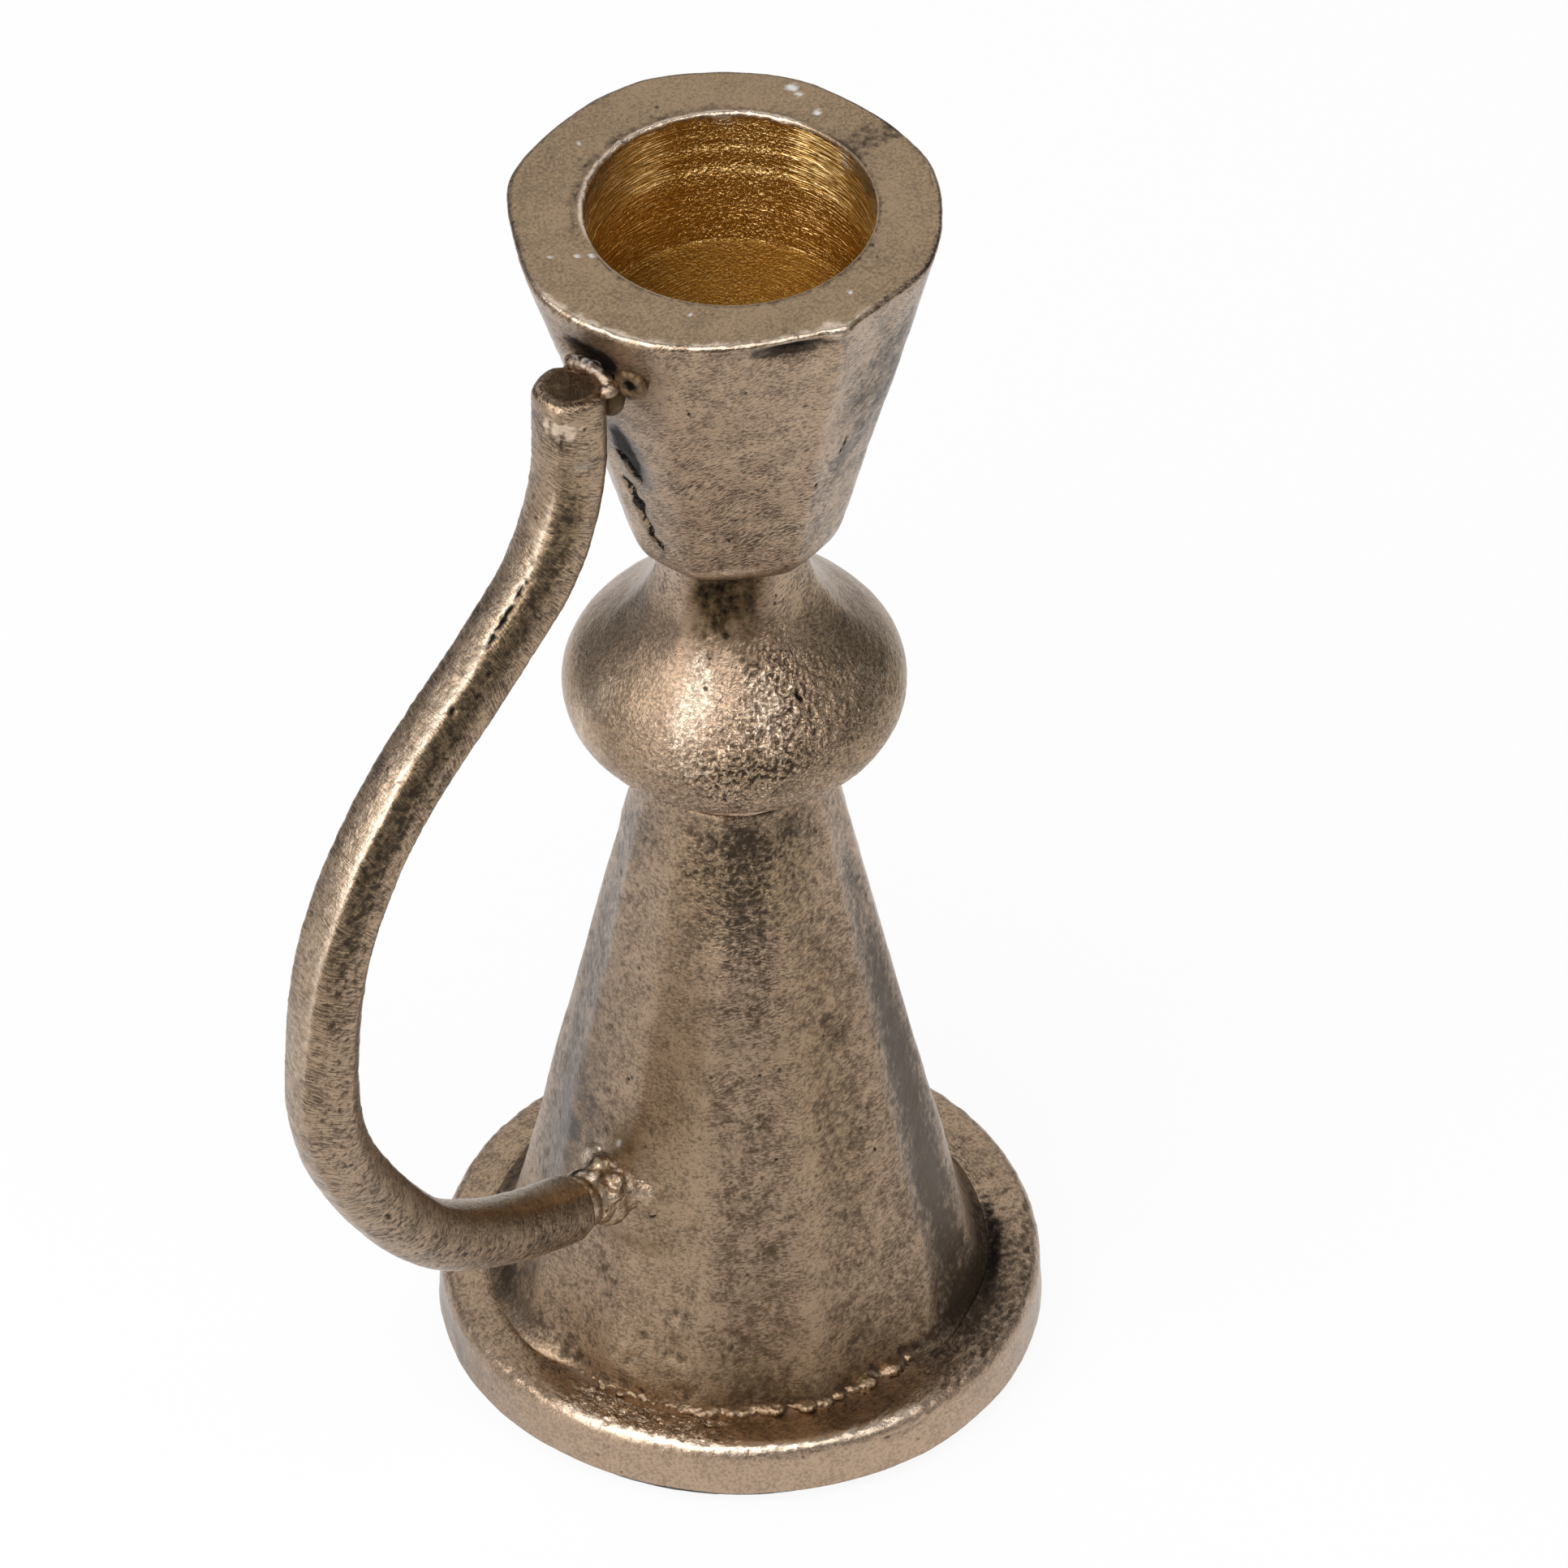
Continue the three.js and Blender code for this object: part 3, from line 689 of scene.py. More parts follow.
def makeCup():
    runs = cupRuns()
    outline = joinRuns(*runs.values())
    ends = dict(zip(runs, np.cumsum([len(run) - 1 for run in runs.values()]) + 1))
    ring = np.arange(len(outline))[:, None]
    outside = ((ring >= ends["seat"]) & (ring < ends["rim"])) * 1.0
    flat = ((ring >= ends["edge"] - 2) & (ring < ends["lip"])) * 1.0
    flank = outside * (1 - flat)
    bore = (ring >= ends["lip"] - 2) * 1.0
    floor = (ring >= ends["corner"] - 1) * 1.0
    wall = bore * (1 - floor)
    angles, radii, heights = sweep(outline, cup["sides"])
    azimuth = azimuthOf(angles)
    stain = spotFields(angles, heights, cup["stainsAndLight"])
    rough = turnedGrid(radii, heights, angles)
    wander = angles + 0.05 * lumps(rough, 13, 2)
    rise = easeStep(cupLowZ + 2, rimZ, heights)
    flats = 1 - cup["flatShare"] * (1 - dressedFlats(wander, cup["ridges"], cup["crisp"]))
    plan = aroundOutline(angles, cup["outline"]) / cup["rim"]
    shape = (1 + rise * (plan - 1)) * (1 + (1 - 0.75 * rise) * (flats - 1))
    inward = easeStep(cup["socket"], cup["socket"] + 4, np.where(flat, radii, 99))
    radii = radii * (1 + outside * (shape - 1) * inward)
    grid = turnedGrid(radii, heights, angles)
    normals = gridNormals(grid, False)

    # flank: uneven skin, swellings, cracks and pits
    lift = outside * castSkin(grid, cup["skin"]) * (1 - 0.8 * flat)
    lift += flank * spots(angles, heights, cup["swells"])
    soot, scorch = stain["soot"], stain["scorch"]
    crack = np.zeros(angles.shape)
    nearest = np.full(angles.shape, 1e6)
    bentAngles = angles + 0.05 * lumps(rough, 1.4, 46)
    bentHeights = heights + 0.45 * lumps(rough, 1.4, 47)
    for path in cup["cracks"]:
        away, side = lineReach(bentAngles, bentHeights, cup["crackRadius"], path)
        high, low = path[0][1], path[-1][1]
        beside = outside * band(low - 0.6, low + 0.6, high - 0.6, high + 0.6, heights)
        lift -= beside * (0.26 * bell(away, 0.22) + 0.16 * bell(away, 1.3) * (side > 0))
        lift += beside * 0.1 * bell(away, 0.6) * (side < 0)
        reach = np.clip(0.5 + np.sign(side) * away / crackReach, 0, 1)
        crack = np.where(away < nearest, reach, crack) * outside
        nearest = np.minimum(away, nearest)
        scorch = scorch + 0.25 * bell(away - 0.4, 0.3) * (side < 0) * beside
    ragged = 1 + 0.8 * lumps(grid, 0.5, 44)
    for *place, deep in cup["pits"]:
        pit = easeStep(0.35, 0.9, ragged * spot(angles, heights, *place)) * outside
        lift -= deep * pit
        soot = soot + 0.8 * pit

    # turned socket: rings near the mouth, torn metal below, rings on the floor
    depth = (rimZ - heights) / (rimZ - cupFloorZ)
    torn = easeStep(0.4, 0.5, depth)
    still = np.zeros(angles.shape)
    upright = np.stack([still, still, heights], -1)
    wave = lumps(upright, 0.5, 21) + 0.7 * lumps(upright, 0.22, 22)
    ripped = 0.1 * cloud(stretched(grid, 1.6), 0.8, 24) + 0.03 * wave
    lift += (1 - easeStep(0.9, 1.0, depth)) * wall * ((1 - torn) * 0.035 * wave + torn * ripped)
    floorWave = 0.03 * lumps(np.stack([radii, still, still + 5], -1), 0.6, 23) + 0.06 * cloud(grid, 0.8, 25)
    lift += floor * (1 - easeStep(10.0, 11.2, radii)) * floorWave

    # flat rim: burrs at the socket's lip and at the front edge, and chips
    burr = bell(radii - cup["socket"] - 0.3, 0.3) * flat
    backLip = 1 - easeStep(1.0, 1.5, np.abs(turnFrom(angles, -142)))
    lift += burr * backLip * (0.1 + 0.35 * np.clip(cloud(grid, 0.8, 27), 0, 1))
    lift += flat * (1 - bore) * 0.015 * cloud(grid, 0.7, 28)
    fromEdge = ring - ends["edge"] + 3
    lift += 0.08 * bell(fromEdge, 2.4) * band(-80, -50, 20, 50, azimuth) * (0.6 + 1.4 * cloud(grid, 1.4, 29))
    chip = np.zeros(angles.shape)
    for place, away, size in cup["chips"]:
        across = np.linalg.norm(grid[..., :2] - away * outward(place)[:2], axis=-1)
        chip += (1 - easeStep(0.7, 1.0, across / size + 0.35 * lumps(grid, 0.4, 33))) * flat
    lift -= 0.06 * chip
    grid = grid + normals * lift[..., None]

    # painted highlight round the rim's outer edge, strongest and broken up along the front
    edge = bell(fromEdge, 3.4)
    frontEdgeHighlight = edge * band(-75, -40, 30, 60, azimuth) * (0.75 + 0.8 * cloud(grid, 1.3, 30))
    dullMouth = (1 - easeStep(0.05, 0.3, depth)) * easeStep(0.6, 1.2, np.abs(turnFrom(angles, 170)))
    # darker amber deeper in the socket and on its floor is painted shade
    deepBoreShade = 0.25 * easeStep(0.7, 1.0, depth) + 0.55 * floor
    # patina in hollows and stains, with painted shade on the lip away from the back that dulls its reflection
    patinaAndShade = 0.2 + 0.3 * hollows(lift, 0.03) * outside + stain["patina"] + 0.3 * burr * (1 - backLip)
    marks = dict(
        soot=soot * outside, chip=chip + wall * stain["lipChips"], scorch=scorch * flank, crack=crack,
        patina=outside * patinaAndShade + wall * (0.2 + 0.35 * dullMouth),
        rubbed=outside * (0.75 * frontEdgeHighlight + 0.14 * edge + stain["rubbed"]) + 0.75 * burr * backLip,
        ochre=0.4 * flat * (1 - bore) + 0.12 * outside + deepBoreShade * bore,
        cool=flank * stain["cool"], wrinkle=outside * stain["wrinkle"])
    strength = flank * (0.68 + stain["strokes"]) + 0.2 * flat + wall * (1 - 0.5 * torn) + 0.5 * floor
    strength = np.clip(strength, 0, 1)
    rings = strokeLay(outline, strength, 45)
    rings[..., 1] = np.where(floor, outline[:, :1], outline[:, 1:])
    strokes = np.where((bore > 0)[..., None], rings, strokeLay(outline, strength, 45, cup["strokeLean"]))
    piece = makeSkin("candle_cup_skin", grid, marks, strokes)
    settle(piece, "candle_cup", castBrass)
    piece.data.materials.append(turnedBrass)
    boreFaces = np.arange(len(piece.data.polygons)) >= (ends["lip"] - 1) * cup["sides"]
    piece.data.polygons.foreach_set("material_index", boreFaces.astype(np.int32))
    for k in range((ends["wall"] - 1) * cup["sides"], ends["wall"] * cup["sides"]):
        piece.data.polygons[k].use_smooth = False  # the socket's square corner


makeCup()

# Knop
knop = dict(
    belly=14.1, bellyRise=8.7, under=7.4, upper=6.0, underFull=0.41, shoulderFull=0.36, sides=400,
    ridges=[-153, -93, -36, 27, 87, 147], crisp=26, flatShare=0.5,
    skin=[(0.14, 8, 56), (0.04, 2.4, 57), (0.012, 0.8, 58)], strokeLean=(0.2, 0.0),
    pit=(30, 77, 2.2, 0.6),  # azimuth, height, width in degrees and height in mm
    stainsAndLight=dict(
        wrinkle=[(0, 73.2, 36, 2.6, 0.9), (18, 77.0, 22, 3.0, 0.9), (-5, 69, 42, 3.5, 0.75),
                 (28, 80, 12, 3, 0.6), (-20, 79, 10, 3, 0.45), (60, 74, 25, 6, 0.35)],
        patina=[(-88, 79.5, 24, 3, 0.25), (-62, 73, 18, 6, -0.16), (70, 76, 30, 6, 0.04),
                (5, 73, 18, 1.0, 0.25), (12, 79.5, 12, 1.6, 0.25), (0, 67, 40, 2.4, 0.12)],
        # the rubbed marks are painted highlights at the knop's front and painted light on its left and right;
        # the negative patina at azimuth -62 lightens its left side too
        rubbed=[(-19, 77.0, 13, 4.6, 0.6), (14, 77.0, 16, 3.6, 0.5), (-42, 83, 4, 3, 0.4),
                (-12, 72.6, 24, 1.0, 0.22), (-62, 73, 20, 7, 0.5), (62, 75, 22, 6, 0.4)],
        ochre=[(75, 77, 40, 9, 0.6), (-62, 74, 30, 6, 0.3), (5, 73, 20, 1.2, 0.5)],
        cool=[(-92, 80.5, 20, 2.6, 0.6), (88, 70, 14, 4, 0.25)],
        strokes=[(10, 72, 45, 6, 0.3), (60, 76, 30, 8, 0.2)]))


def makeKnop():
    low, high = coneTopZ + seatGap, cupLowZ - seatGap
    bellyZ = coneTopZ + 2 * seatGap + knop["bellyRise"]
    underZ = low + (bellyZ - low) * knop["underFull"]
    shoulderZ = bellyZ + (high - bellyZ) * knop["shoulderFull"]
    belly, upper, under = knop["belly"], knop["upper"], knop["under"]
    outer = joinRuns(curve((under, low), (under, underZ), (belly, underZ), (belly, bellyZ), 66),
                     curve((belly, bellyZ), (belly, shoulderZ), (upper, shoulderZ), (upper, high), 96))
    inner = joinRuns(runAlong([(upper, high), (studRadius, high)], 4),
                     runAlong([(studRadius, high), (studRadius, low)], 6),
                     runAlong([(studRadius, low), (under, low)], 4))[1:-1]
    outline, outside, angles, radii, heights, stain = loopStart(outer, inner, knop)
    rough = turnedGrid(radii, heights, angles)
    wander = angles + 0.07 * lumps(rough, 7, 51) + 0.02 * lumps(rough, 1.5, 52)
    flats = dressedFlats(wander, knop["ridges"], knop["crisp"])
    flaring = easeStep(bellyZ + 1, shoulderZ + 5, heights)
    grid = turnedGrid(radii * (1 - outside * knop["flatShare"] * flaring * (1 - flats)), heights, angles)
    normals = gridNormals(grid, True)
    wrinkle = np.clip(stain["wrinkle"], 0, 1)
    worms = wormRidges(stretched(grid, 1.4), 0.62, 55)
    lift = castSkin(grid, knop["skin"]) + wrinkle * (0.26 * worms + 0.08 * cloud(grid, 0.5, 59) - 0.08)
    pit = easeStep(0.4, 0.9, (1 + 0.6 * lumps(grid, 0.6, 60)) * spot(angles, heights, *knop["pit"]))
    lift = (lift - 0.2 * pit) * outside
    grid = grid + normals * lift[..., None]

    # the dark flat at the front of the upper neck: dark patina with a painted dark reflection
    azimuth = azimuthOf(wander) + 5 * cloud(grid, 1.2, 62)
    brushed = cloud(stretched(grid, 0.4), 1.0, 61)
    facet = outside * band(-46, -24, 10, 40, azimuth)
    facet *= easeStep(77.4, 83.6, heights + 1.8 * brushed - 0.0008 * (azimuth + 2) ** 2)
    sunk = hollows(lift, 0.04) * (0.3 + wrinkle)
    marks = dict(
        wrinkle=wrinkle * outside, soot=0.8 * pit + facet * (0.5 + 0.2 * brushed), scorch=0.9 * facet,
        patina=outside * (0.05 + 0.4 * sunk + 0.42 * facet + stain["patina"]),
        rubbed=outside * (0.35 * wrinkle * (worms - 0.3) + stain["rubbed"]),
        ochre=outside * stain["ochre"], cool=outside * stain["cool"])
    strength = outside * (0.15 + 0.6 * easeStep(80, 84, heights) + stain["strokes"])
    strokes = strokeLay(outline, strength, 65, knop["strokeLean"])
    piece = makeSkin("knop_skin", grid, marks, strokes, loop=True)
    settle(piece, "knop", castBrass)


makeKnop()

# Cone stem
cone = dict(
    footRadius=20.2, shoulder=9.8, top=7.5, shoulderDrop=8.6, wall=3.5, roof=15.0, registerRadius=18.3,
    registerDrop=2.3, sides=400,
    ridges=[-156, -126, -96, -65, -35, -9, 20, 57, 86, 115, 144, 173], crisp=90,
    skin=[(0.11, 9, 63), (0.05, 3, 64), (0.018, 0.9, 65)],
    # swellings under the lower weld and a lump at the front
    swells=[(-41, 26, 10, 3.4, 0.9), (-31, 23.5, 7, 2.2, 0.3), (-17, 13.4, 2.0, 0.9, 0.35)],
    splash=(-23, 8.6, 11, 2.4), strokeLean=(0.1, 0.0),
    # azimuth, height, size and depth of pits
    pits=[(-43.2, 35.2, 0.3, 0.25), (-26.5, 23.9, 0.5, 0.3), (-36.4, 29, 0.35, 0.3), (12, 30, 0.22, 0.1),
          (48, 27, 0.25, 0.1), (33, 19, 0.22, 0.1), (8, 38, 0.2, 0.1)],
    stainsAndLight=dict(
        gloss=[(4, 57.5, 34, 3.4, 1.0), (2, 51, 24, 5, 0.6), (5, 60, 30, 2, 0.3)],
        # the patina at azimuth 72 and -78, the scorch at 74 and the cool marks are painted shade on the
        # cone's sides; the patina at 86 low down is painted shadow at its foot, and the rubbed mark at 78 is
        # painted light at the base of its right side
        patina=[(72, 28, 15, 26, 0.42), (70, 14, 22, 10, 0.06), (-4, 12, 22, 8, 0.04), (-38, 16.5, 6, 3, 0.2),
                (38, 36, 9, 14, 0.14), (0, 55, 30, 4, 0.08), (30, 16, 8, 8, 0.1), (0, 60.5, 50, 1.2, 0.2),
                (-78, 34, 22, 24, 0.16), (86, 5.8, 20, 1.0, 0.2), (-17, 57, 11, 5, 0.06)],
        rubbed=[(78, 7.5, 18, 3, 0.25), (-23, 8.6, 9, 2, 0.15), (-17, 13.4, 2, 1, 0.3),
                (-70, 7.0, 26, 2.6, 0.26)],
        scorch=[(-38, 29.4, 6, 2.4, 0.7), (-34, 20.6, 12, 0.9, 0.45), (6, 11, 22, 10, 0.2),
                (-20, 40, 14, 14, 0.08), (74, 28, 14, 24, 0.2)],
        ochre=[(-23, 34, 16, 18, 0.4), (32, 40, 16, 22, 0.5), (0, 57, 40, 5, 0.5), (0, 8, 60, 5, 0.4)],
        cool=[(-68, 26, 14, 8, 1.0), (-62, 58, 10, 3, 0.5), (-76, 44, 18, 14, 0.5), (74, 34, 18, 16, 0.25)],
        chip=[(-41, 29.2, 0.8, 0.25, 0.8)],
        strokes=[(5, 52, 30, 8, 0.3), (45, 30, 25, 20, 0.25)]))


def coneRadius(height):
    rise = (height - coneLowZ) / (coneTopZ - cone["shoulderDrop"] - coneLowZ)
    return cone["footRadius"] + (cone["shoulder"] - cone["footRadius"]) * rise


def coneFlats(angles):
    return dressedFlats(angles, cone["ridges"], cone["crisp"])


def sideShare(azimuth):  # 0 at the front of the cone, 1 at its sides and back
    return easeStep(38, 60, np.abs(azimuth))


def coneOutline():
    low, high = coneLowZ - seatGap, coneTopZ + seatGap
    shoulderZ = coneTopZ - cone["shoulderDrop"]
    roofZ = coneTopZ - cone["roof"]
    register, registerZ = cone["registerRadius"], coneLowZ - cone["registerDrop"]
    base, shoulder, top = cone["footRadius"], cone["shoulder"], cone["top"]
    cavity = base - cone["wall"]
    bendIn = coneRadius(coneTopZ - cone["shoulderDrop"] / 3)
    outer = joinRuns(
        runAlong([(base, low), (shoulder, shoulderZ)], 162),
        curve((shoulder, shoulderZ), (bendIn + 0.6, coneTopZ - 4.4), (bendIn - 0.7, coneTopZ - 1.3),
              (top, high), 38))
    inner = runAlong([(top, high), (studRadius, high), (studRadius, roofZ),
                      (coneRadius(roofZ) - cone["wall"], roofZ), (cavity, coneLowZ), (cavity, registerZ),
                      (register, registerZ), (register, low), (base, low)], 32)
    return outer, inner[1:-1]


def makeCone():
    outer, inner = coneOutline()
    outline, outside, angles, radii, heights, stain = loopStart(outer, inner, cone)
    rough = turnedGrid(radii, heights, angles)
    sway = 0.05 * lumps(rough, 16, 61) + 0.02 * lumps(rough, 3.5, 62) + 0.008 * lumps(rough, 1, 60)
    wander = angles + outside * sway
    azimuth = azimuthOf(angles)
    sideOn = sideShare(azimuth)
    fade = 1 - 0.5 * easeStep(coneTopZ - cone["shoulderDrop"] + 1, coneTopZ, heights)
    fade -= 0.8 * sideOn * (1 - easeStep(coneLowZ, coneLowZ + 5, heights))
    flats = coneFlats(wander)
    grid = turnedGrid(radii * (1 + outside * fade * (flats - 1)), heights, angles)
    normals = gridNormals(grid, True)
    gloss = np.clip(stain["gloss"], 0, 1)
    worms = wormRidges(stretched(grid, 1.8), 0.8, 66)
    lift = castSkin(grid, cone["skin"]) + gloss * (0.12 * worms + 0.04 * cloud(grid, 0.6, 67))
    lift += spots(angles, heights, cone["swells"])
    splash = spot(angles, heights, *cone["splash"]) * (1 + 0.9 * lumps(grid, 1.8, 59))
    lift += 0.16 * easeStep(0.2, 0.7, splash)

    # flare into the foot's dish, most at the left
    rise = np.maximum(heights - footDishZ, 0)
    leftward = sideOn * easeStep(-20, 20, -azimuth)
    lift += (0.15 + 0.35 * sideOn + 0.5 * leftward) * np.exp(-rise / 2.2)
    lift += (0.1 + 0.4 * sideOn + 0.3 * leftward) * np.exp(-rise / 0.5)
    soot = np.zeros(angles.shape)
    ragged = 1 + 0.8 * lumps(grid, 0.6, 68)
    for place, height, size, deep in cone["pits"]:
        wide = math.degrees(size / coneRadius(height))
        pit = easeStep(0.3, 0.8, ragged * spot(angles, heights, place, height, wide, size))
        lift -= deep * pit
        soot += 0.85 * pit
    lift = lift * outside
    grid = grid + normals * lift[..., None]

    flatMiddle = np.clip((1 - flats) / 0.03, 0, 1)
    frontFlat = band(-15, -3, 9, 23, azimuthOf(wander))
    patinaAndShade = 0.24 + 0.12 * flatMiddle + 0.25 * hollows(lift, 0.03) + 0.1 * frontFlat
    marks = dict(
        wrinkle=gloss * outside, soot=soot * outside, patina=outside * (patinaAndShade + stain["patina"]),
        rubbed=outside * (0.12 * (1 - flatMiddle) + 0.4 * gloss * (worms - 0.2) + stain["rubbed"]),
        scorch=outside * (0.14 * (1 - easeStep(40, 52, heights)) + stain["scorch"]),
        **{key: outside * stain[key] for key in ("ochre", "cool", "chip")})
    strength = np.clip(outside * (0.45 + 0.25 * frontFlat + stain["strokes"]), 0, 1)
    strokes = strokeLay(outline, strength, 69, cone["strokeLean"])
    piece = makeSkin("cone_stem_skin", grid, marks, strokes, loop=True)
    settle(piece, "cone_stem", castBrass)


makeCone()

# Foot
foot = dict(
    radius=25.5, opening=18.6, edgeHeight=5.1, crestInset=1.3, dish=20.8, tuckRise=1.9, draft=0.2, bevel=0.45,
    sides=480, skin=[(0.1, 8, 71), (0.05, 2.6, 72), (0.014, 0.8, 73)],
    outline=[(-150, 25.4), (-110, 25.5), (-71, 25.5), (-45, 25.3), (-18, 25.1), (10, 25.3), (41, 25.6),
             (80, 25.5), (140, 25.4)],
    scratchRadius=25.3, scratch=[(28, 5.2), (33, 5.0), (37, 5.3), (38, 5.9)],
    stainsAndLight=dict(
        slope=[(-80, 5, 7, 9, 0.2), (-68, 6, 4, 2, 0.25), (60, 5, 20, 9, 0.08), (20, 5, 30, 9, 0.1)],
        # right is painted shade on the right of the slope, valley a painted shadow in the valley beside the
        # cone, and cool painted cool shade on the wall's sides
        right=[(74, 5, 34, 9, 0.42)], valley=[(86, 5, 22, 9, 1.0)],
        cool=[(-75, 3, 24, 4, 0.6), (80, 3, 20, 4, 0.3)]))


def makeFoot():
    radius, dish = foot["radius"], foot["dish"]
    crestZ = footLowZ + foot["edgeHeight"]
    wallTop = (radius - foot["draft"], crestZ - foot["crestInset"] - 0.2)
    crest = radius - foot["crestInset"]
    riseZ = footSeatZ + foot["tuckRise"]
    tuck = coneRadius(riseZ) - 0.9
    under, wallLow = (radius - foot["bevel"], footLowZ), (radius, footLowZ + foot["bevel"])
    outer = joinRuns(
        runAlong([under, wallLow], 4), runAlong([wallLow, wallTop], 18),
        curve(wallTop, (radius - 0.2, crestZ - 0.4), (crest + 0.5, crestZ), (crest, crestZ), 16),
        curve((crest, crestZ), (crest - 1.3, crestZ), (dish + 1.5, footDishZ + 0.1), (dish, footDishZ), 34),
        curve((dish, footDishZ), (dish - 0.5, footDishZ - 0.05), (tuck + 0.4, riseZ - 0.5),
              (tuck, riseZ), 12))
    opening = foot["opening"]
    inner = runAlong([(tuck, riseZ), (opening, riseZ - 0.6), (opening, footLowZ), under], 18)[1:-1]
    outline, outside, angles, radii, heights, stain = loopStart(outer, inner, foot)
    azimuth = azimuthOf(angles)
    front = np.abs(azimuth)
    atRim = easeStep(dish, radius, radii) * (aroundOutline(angles, foot["outline"]) / radius - 1)
    atCone = (1 - easeStep(tuck, dish, radii)) * (1 - sideShare(azimuth)) * (coneFlats(angles) - 1)
    grid = turnedGrid(radii * (1 + outside * (atRim + atCone)), heights, angles)
    normals = gridNormals(grid, True)

    # crust on the front of the slope, a rough crest, a filled dish at the left and a scratch
    slope = band(dish - 0.3, dish + 0.5, crest - 0.4, crest + 0.6, radii)
    crust = band(-42, -36, -14, 8, azimuth) * slope
    lift = castSkin(grid, foot["skin"]) + 0.04 * slope * cloud(grid, 1.0, 78)
    lift += crust * (0.26 * wormRidges(grid, 0.9, 74) + 0.2 * cloud(grid, 0.7, 75))
    upperSide = heights > 5
    lift += 0.13 * bell(radii - crest - 0.3, 0.9) * cloud(grid, 0.9, 76) * upperSide
    lift += 0.42 * band(42, 62, 120, 150, -azimuth) * bell(radii - dish - 1.2, 1.3) * upperSide
    away, _ = lineReach(angles, heights, foot["scratchRadius"], foot["scratch"])
    scratch = bell(away, 0.2) * (radii > 24.4)
    lift = (lift - 0.1 * scratch) * outside
    grid = grid + normals * lift[..., None]

    # painted highlight along the crest and painted shadow in the valley at the right
    crestHighlight = bell(radii - crest - 0.35, 0.6) * (heights > 5.2) * outside
    valley = bell(radii - dish - 0.3, 0.9) * (heights < 6.25) * outside
    valleyShadow = bell(radii - dish - 0.6, 1.1) * outside * stain["valley"]
    low = np.clip(slope + valley, 0, 1)
    patinaAndShade = 0.16 - 0.06 * slope + 0.2 * hollows(lift, 0.03) + 0.3 * valleyShadow + slope * stain["slope"]
    marks = dict(
        soot=0.72 * valleyShadow + 0.5 * scratch,
        patina=outside * (patinaAndShade + stain["right"] * easeStep(crest + 0.9, crest, radii)),
        ochre=0.24 * outside * low, wrinkle=crust * outside,
        rubbed=(crestHighlight * (0.7 * (1 - easeStep(30, 46, front)) + 0.12)
                + 0.22 * (1 - easeStep(10, 45, azimuth)) * low),
        cool=outside * easeStep(24.9, 25.3, radii) * stain["cool"])
    strength = outside * (0.05 + 0.4 * slope + 0.3 * valley)
    piece = makeSkin("foot_skin", grid, marks, strokeLay(outline, strength, 77), loop=True)
    settle(piece, "foot", castBrass)


makeFoot()

# Handle: (distance from the axis, height) down the rod's centre line
handle = dict(
    radius=3.0, rings=860, sides=100, edge=0.8, bare=3.8,  # weld metal fills the last stretch
    ridges=[-150, -98, -22, 52, 118], crisp=26, capShares=[0.82, 0.6, 0.35, 0.0],
    stations=[(19.44, 115.5), (20.04, 105.5), (23.42, 98.54), (28.96, 94.32), (42.19, 85.24), (48.34, 76.38),
              (50.8, 63.3), (50.14, 56.25), (46.83, 48.46), (39.45, 37.6), (33.9, 32.95), (27.71, 29.15),
              (21.37, 26.5), (17.7, 25.2)],
    # distance down the rod, turn in degrees, length, width and depth of pits
    pits=[(20.2, -16, 1.2, 0.3, 0.3), (22.6, -17, 1.6, 0.3, 0.34), (24.6, -19, 0.7, 0.34, 0.3),
          (16.7, -14, 0.3, 0.25, 0.2), (18.8, -18, 0.35, 0.25, 0.25), (31.2, -27, 0.4, 0.35, 0.3),
          (37.5, -20, 0.5, 0.2, 0.15), (29.0, -52, 0.35, 0.3, 0.2), (27, -48, 0.3, 0.3, 0.2),
          (83, -70, 0.4, 0.3, 0.2), (91, -95, 0.35, 0.3, 0.2), (97, -80, 0.3, 0.3, 0.15)])


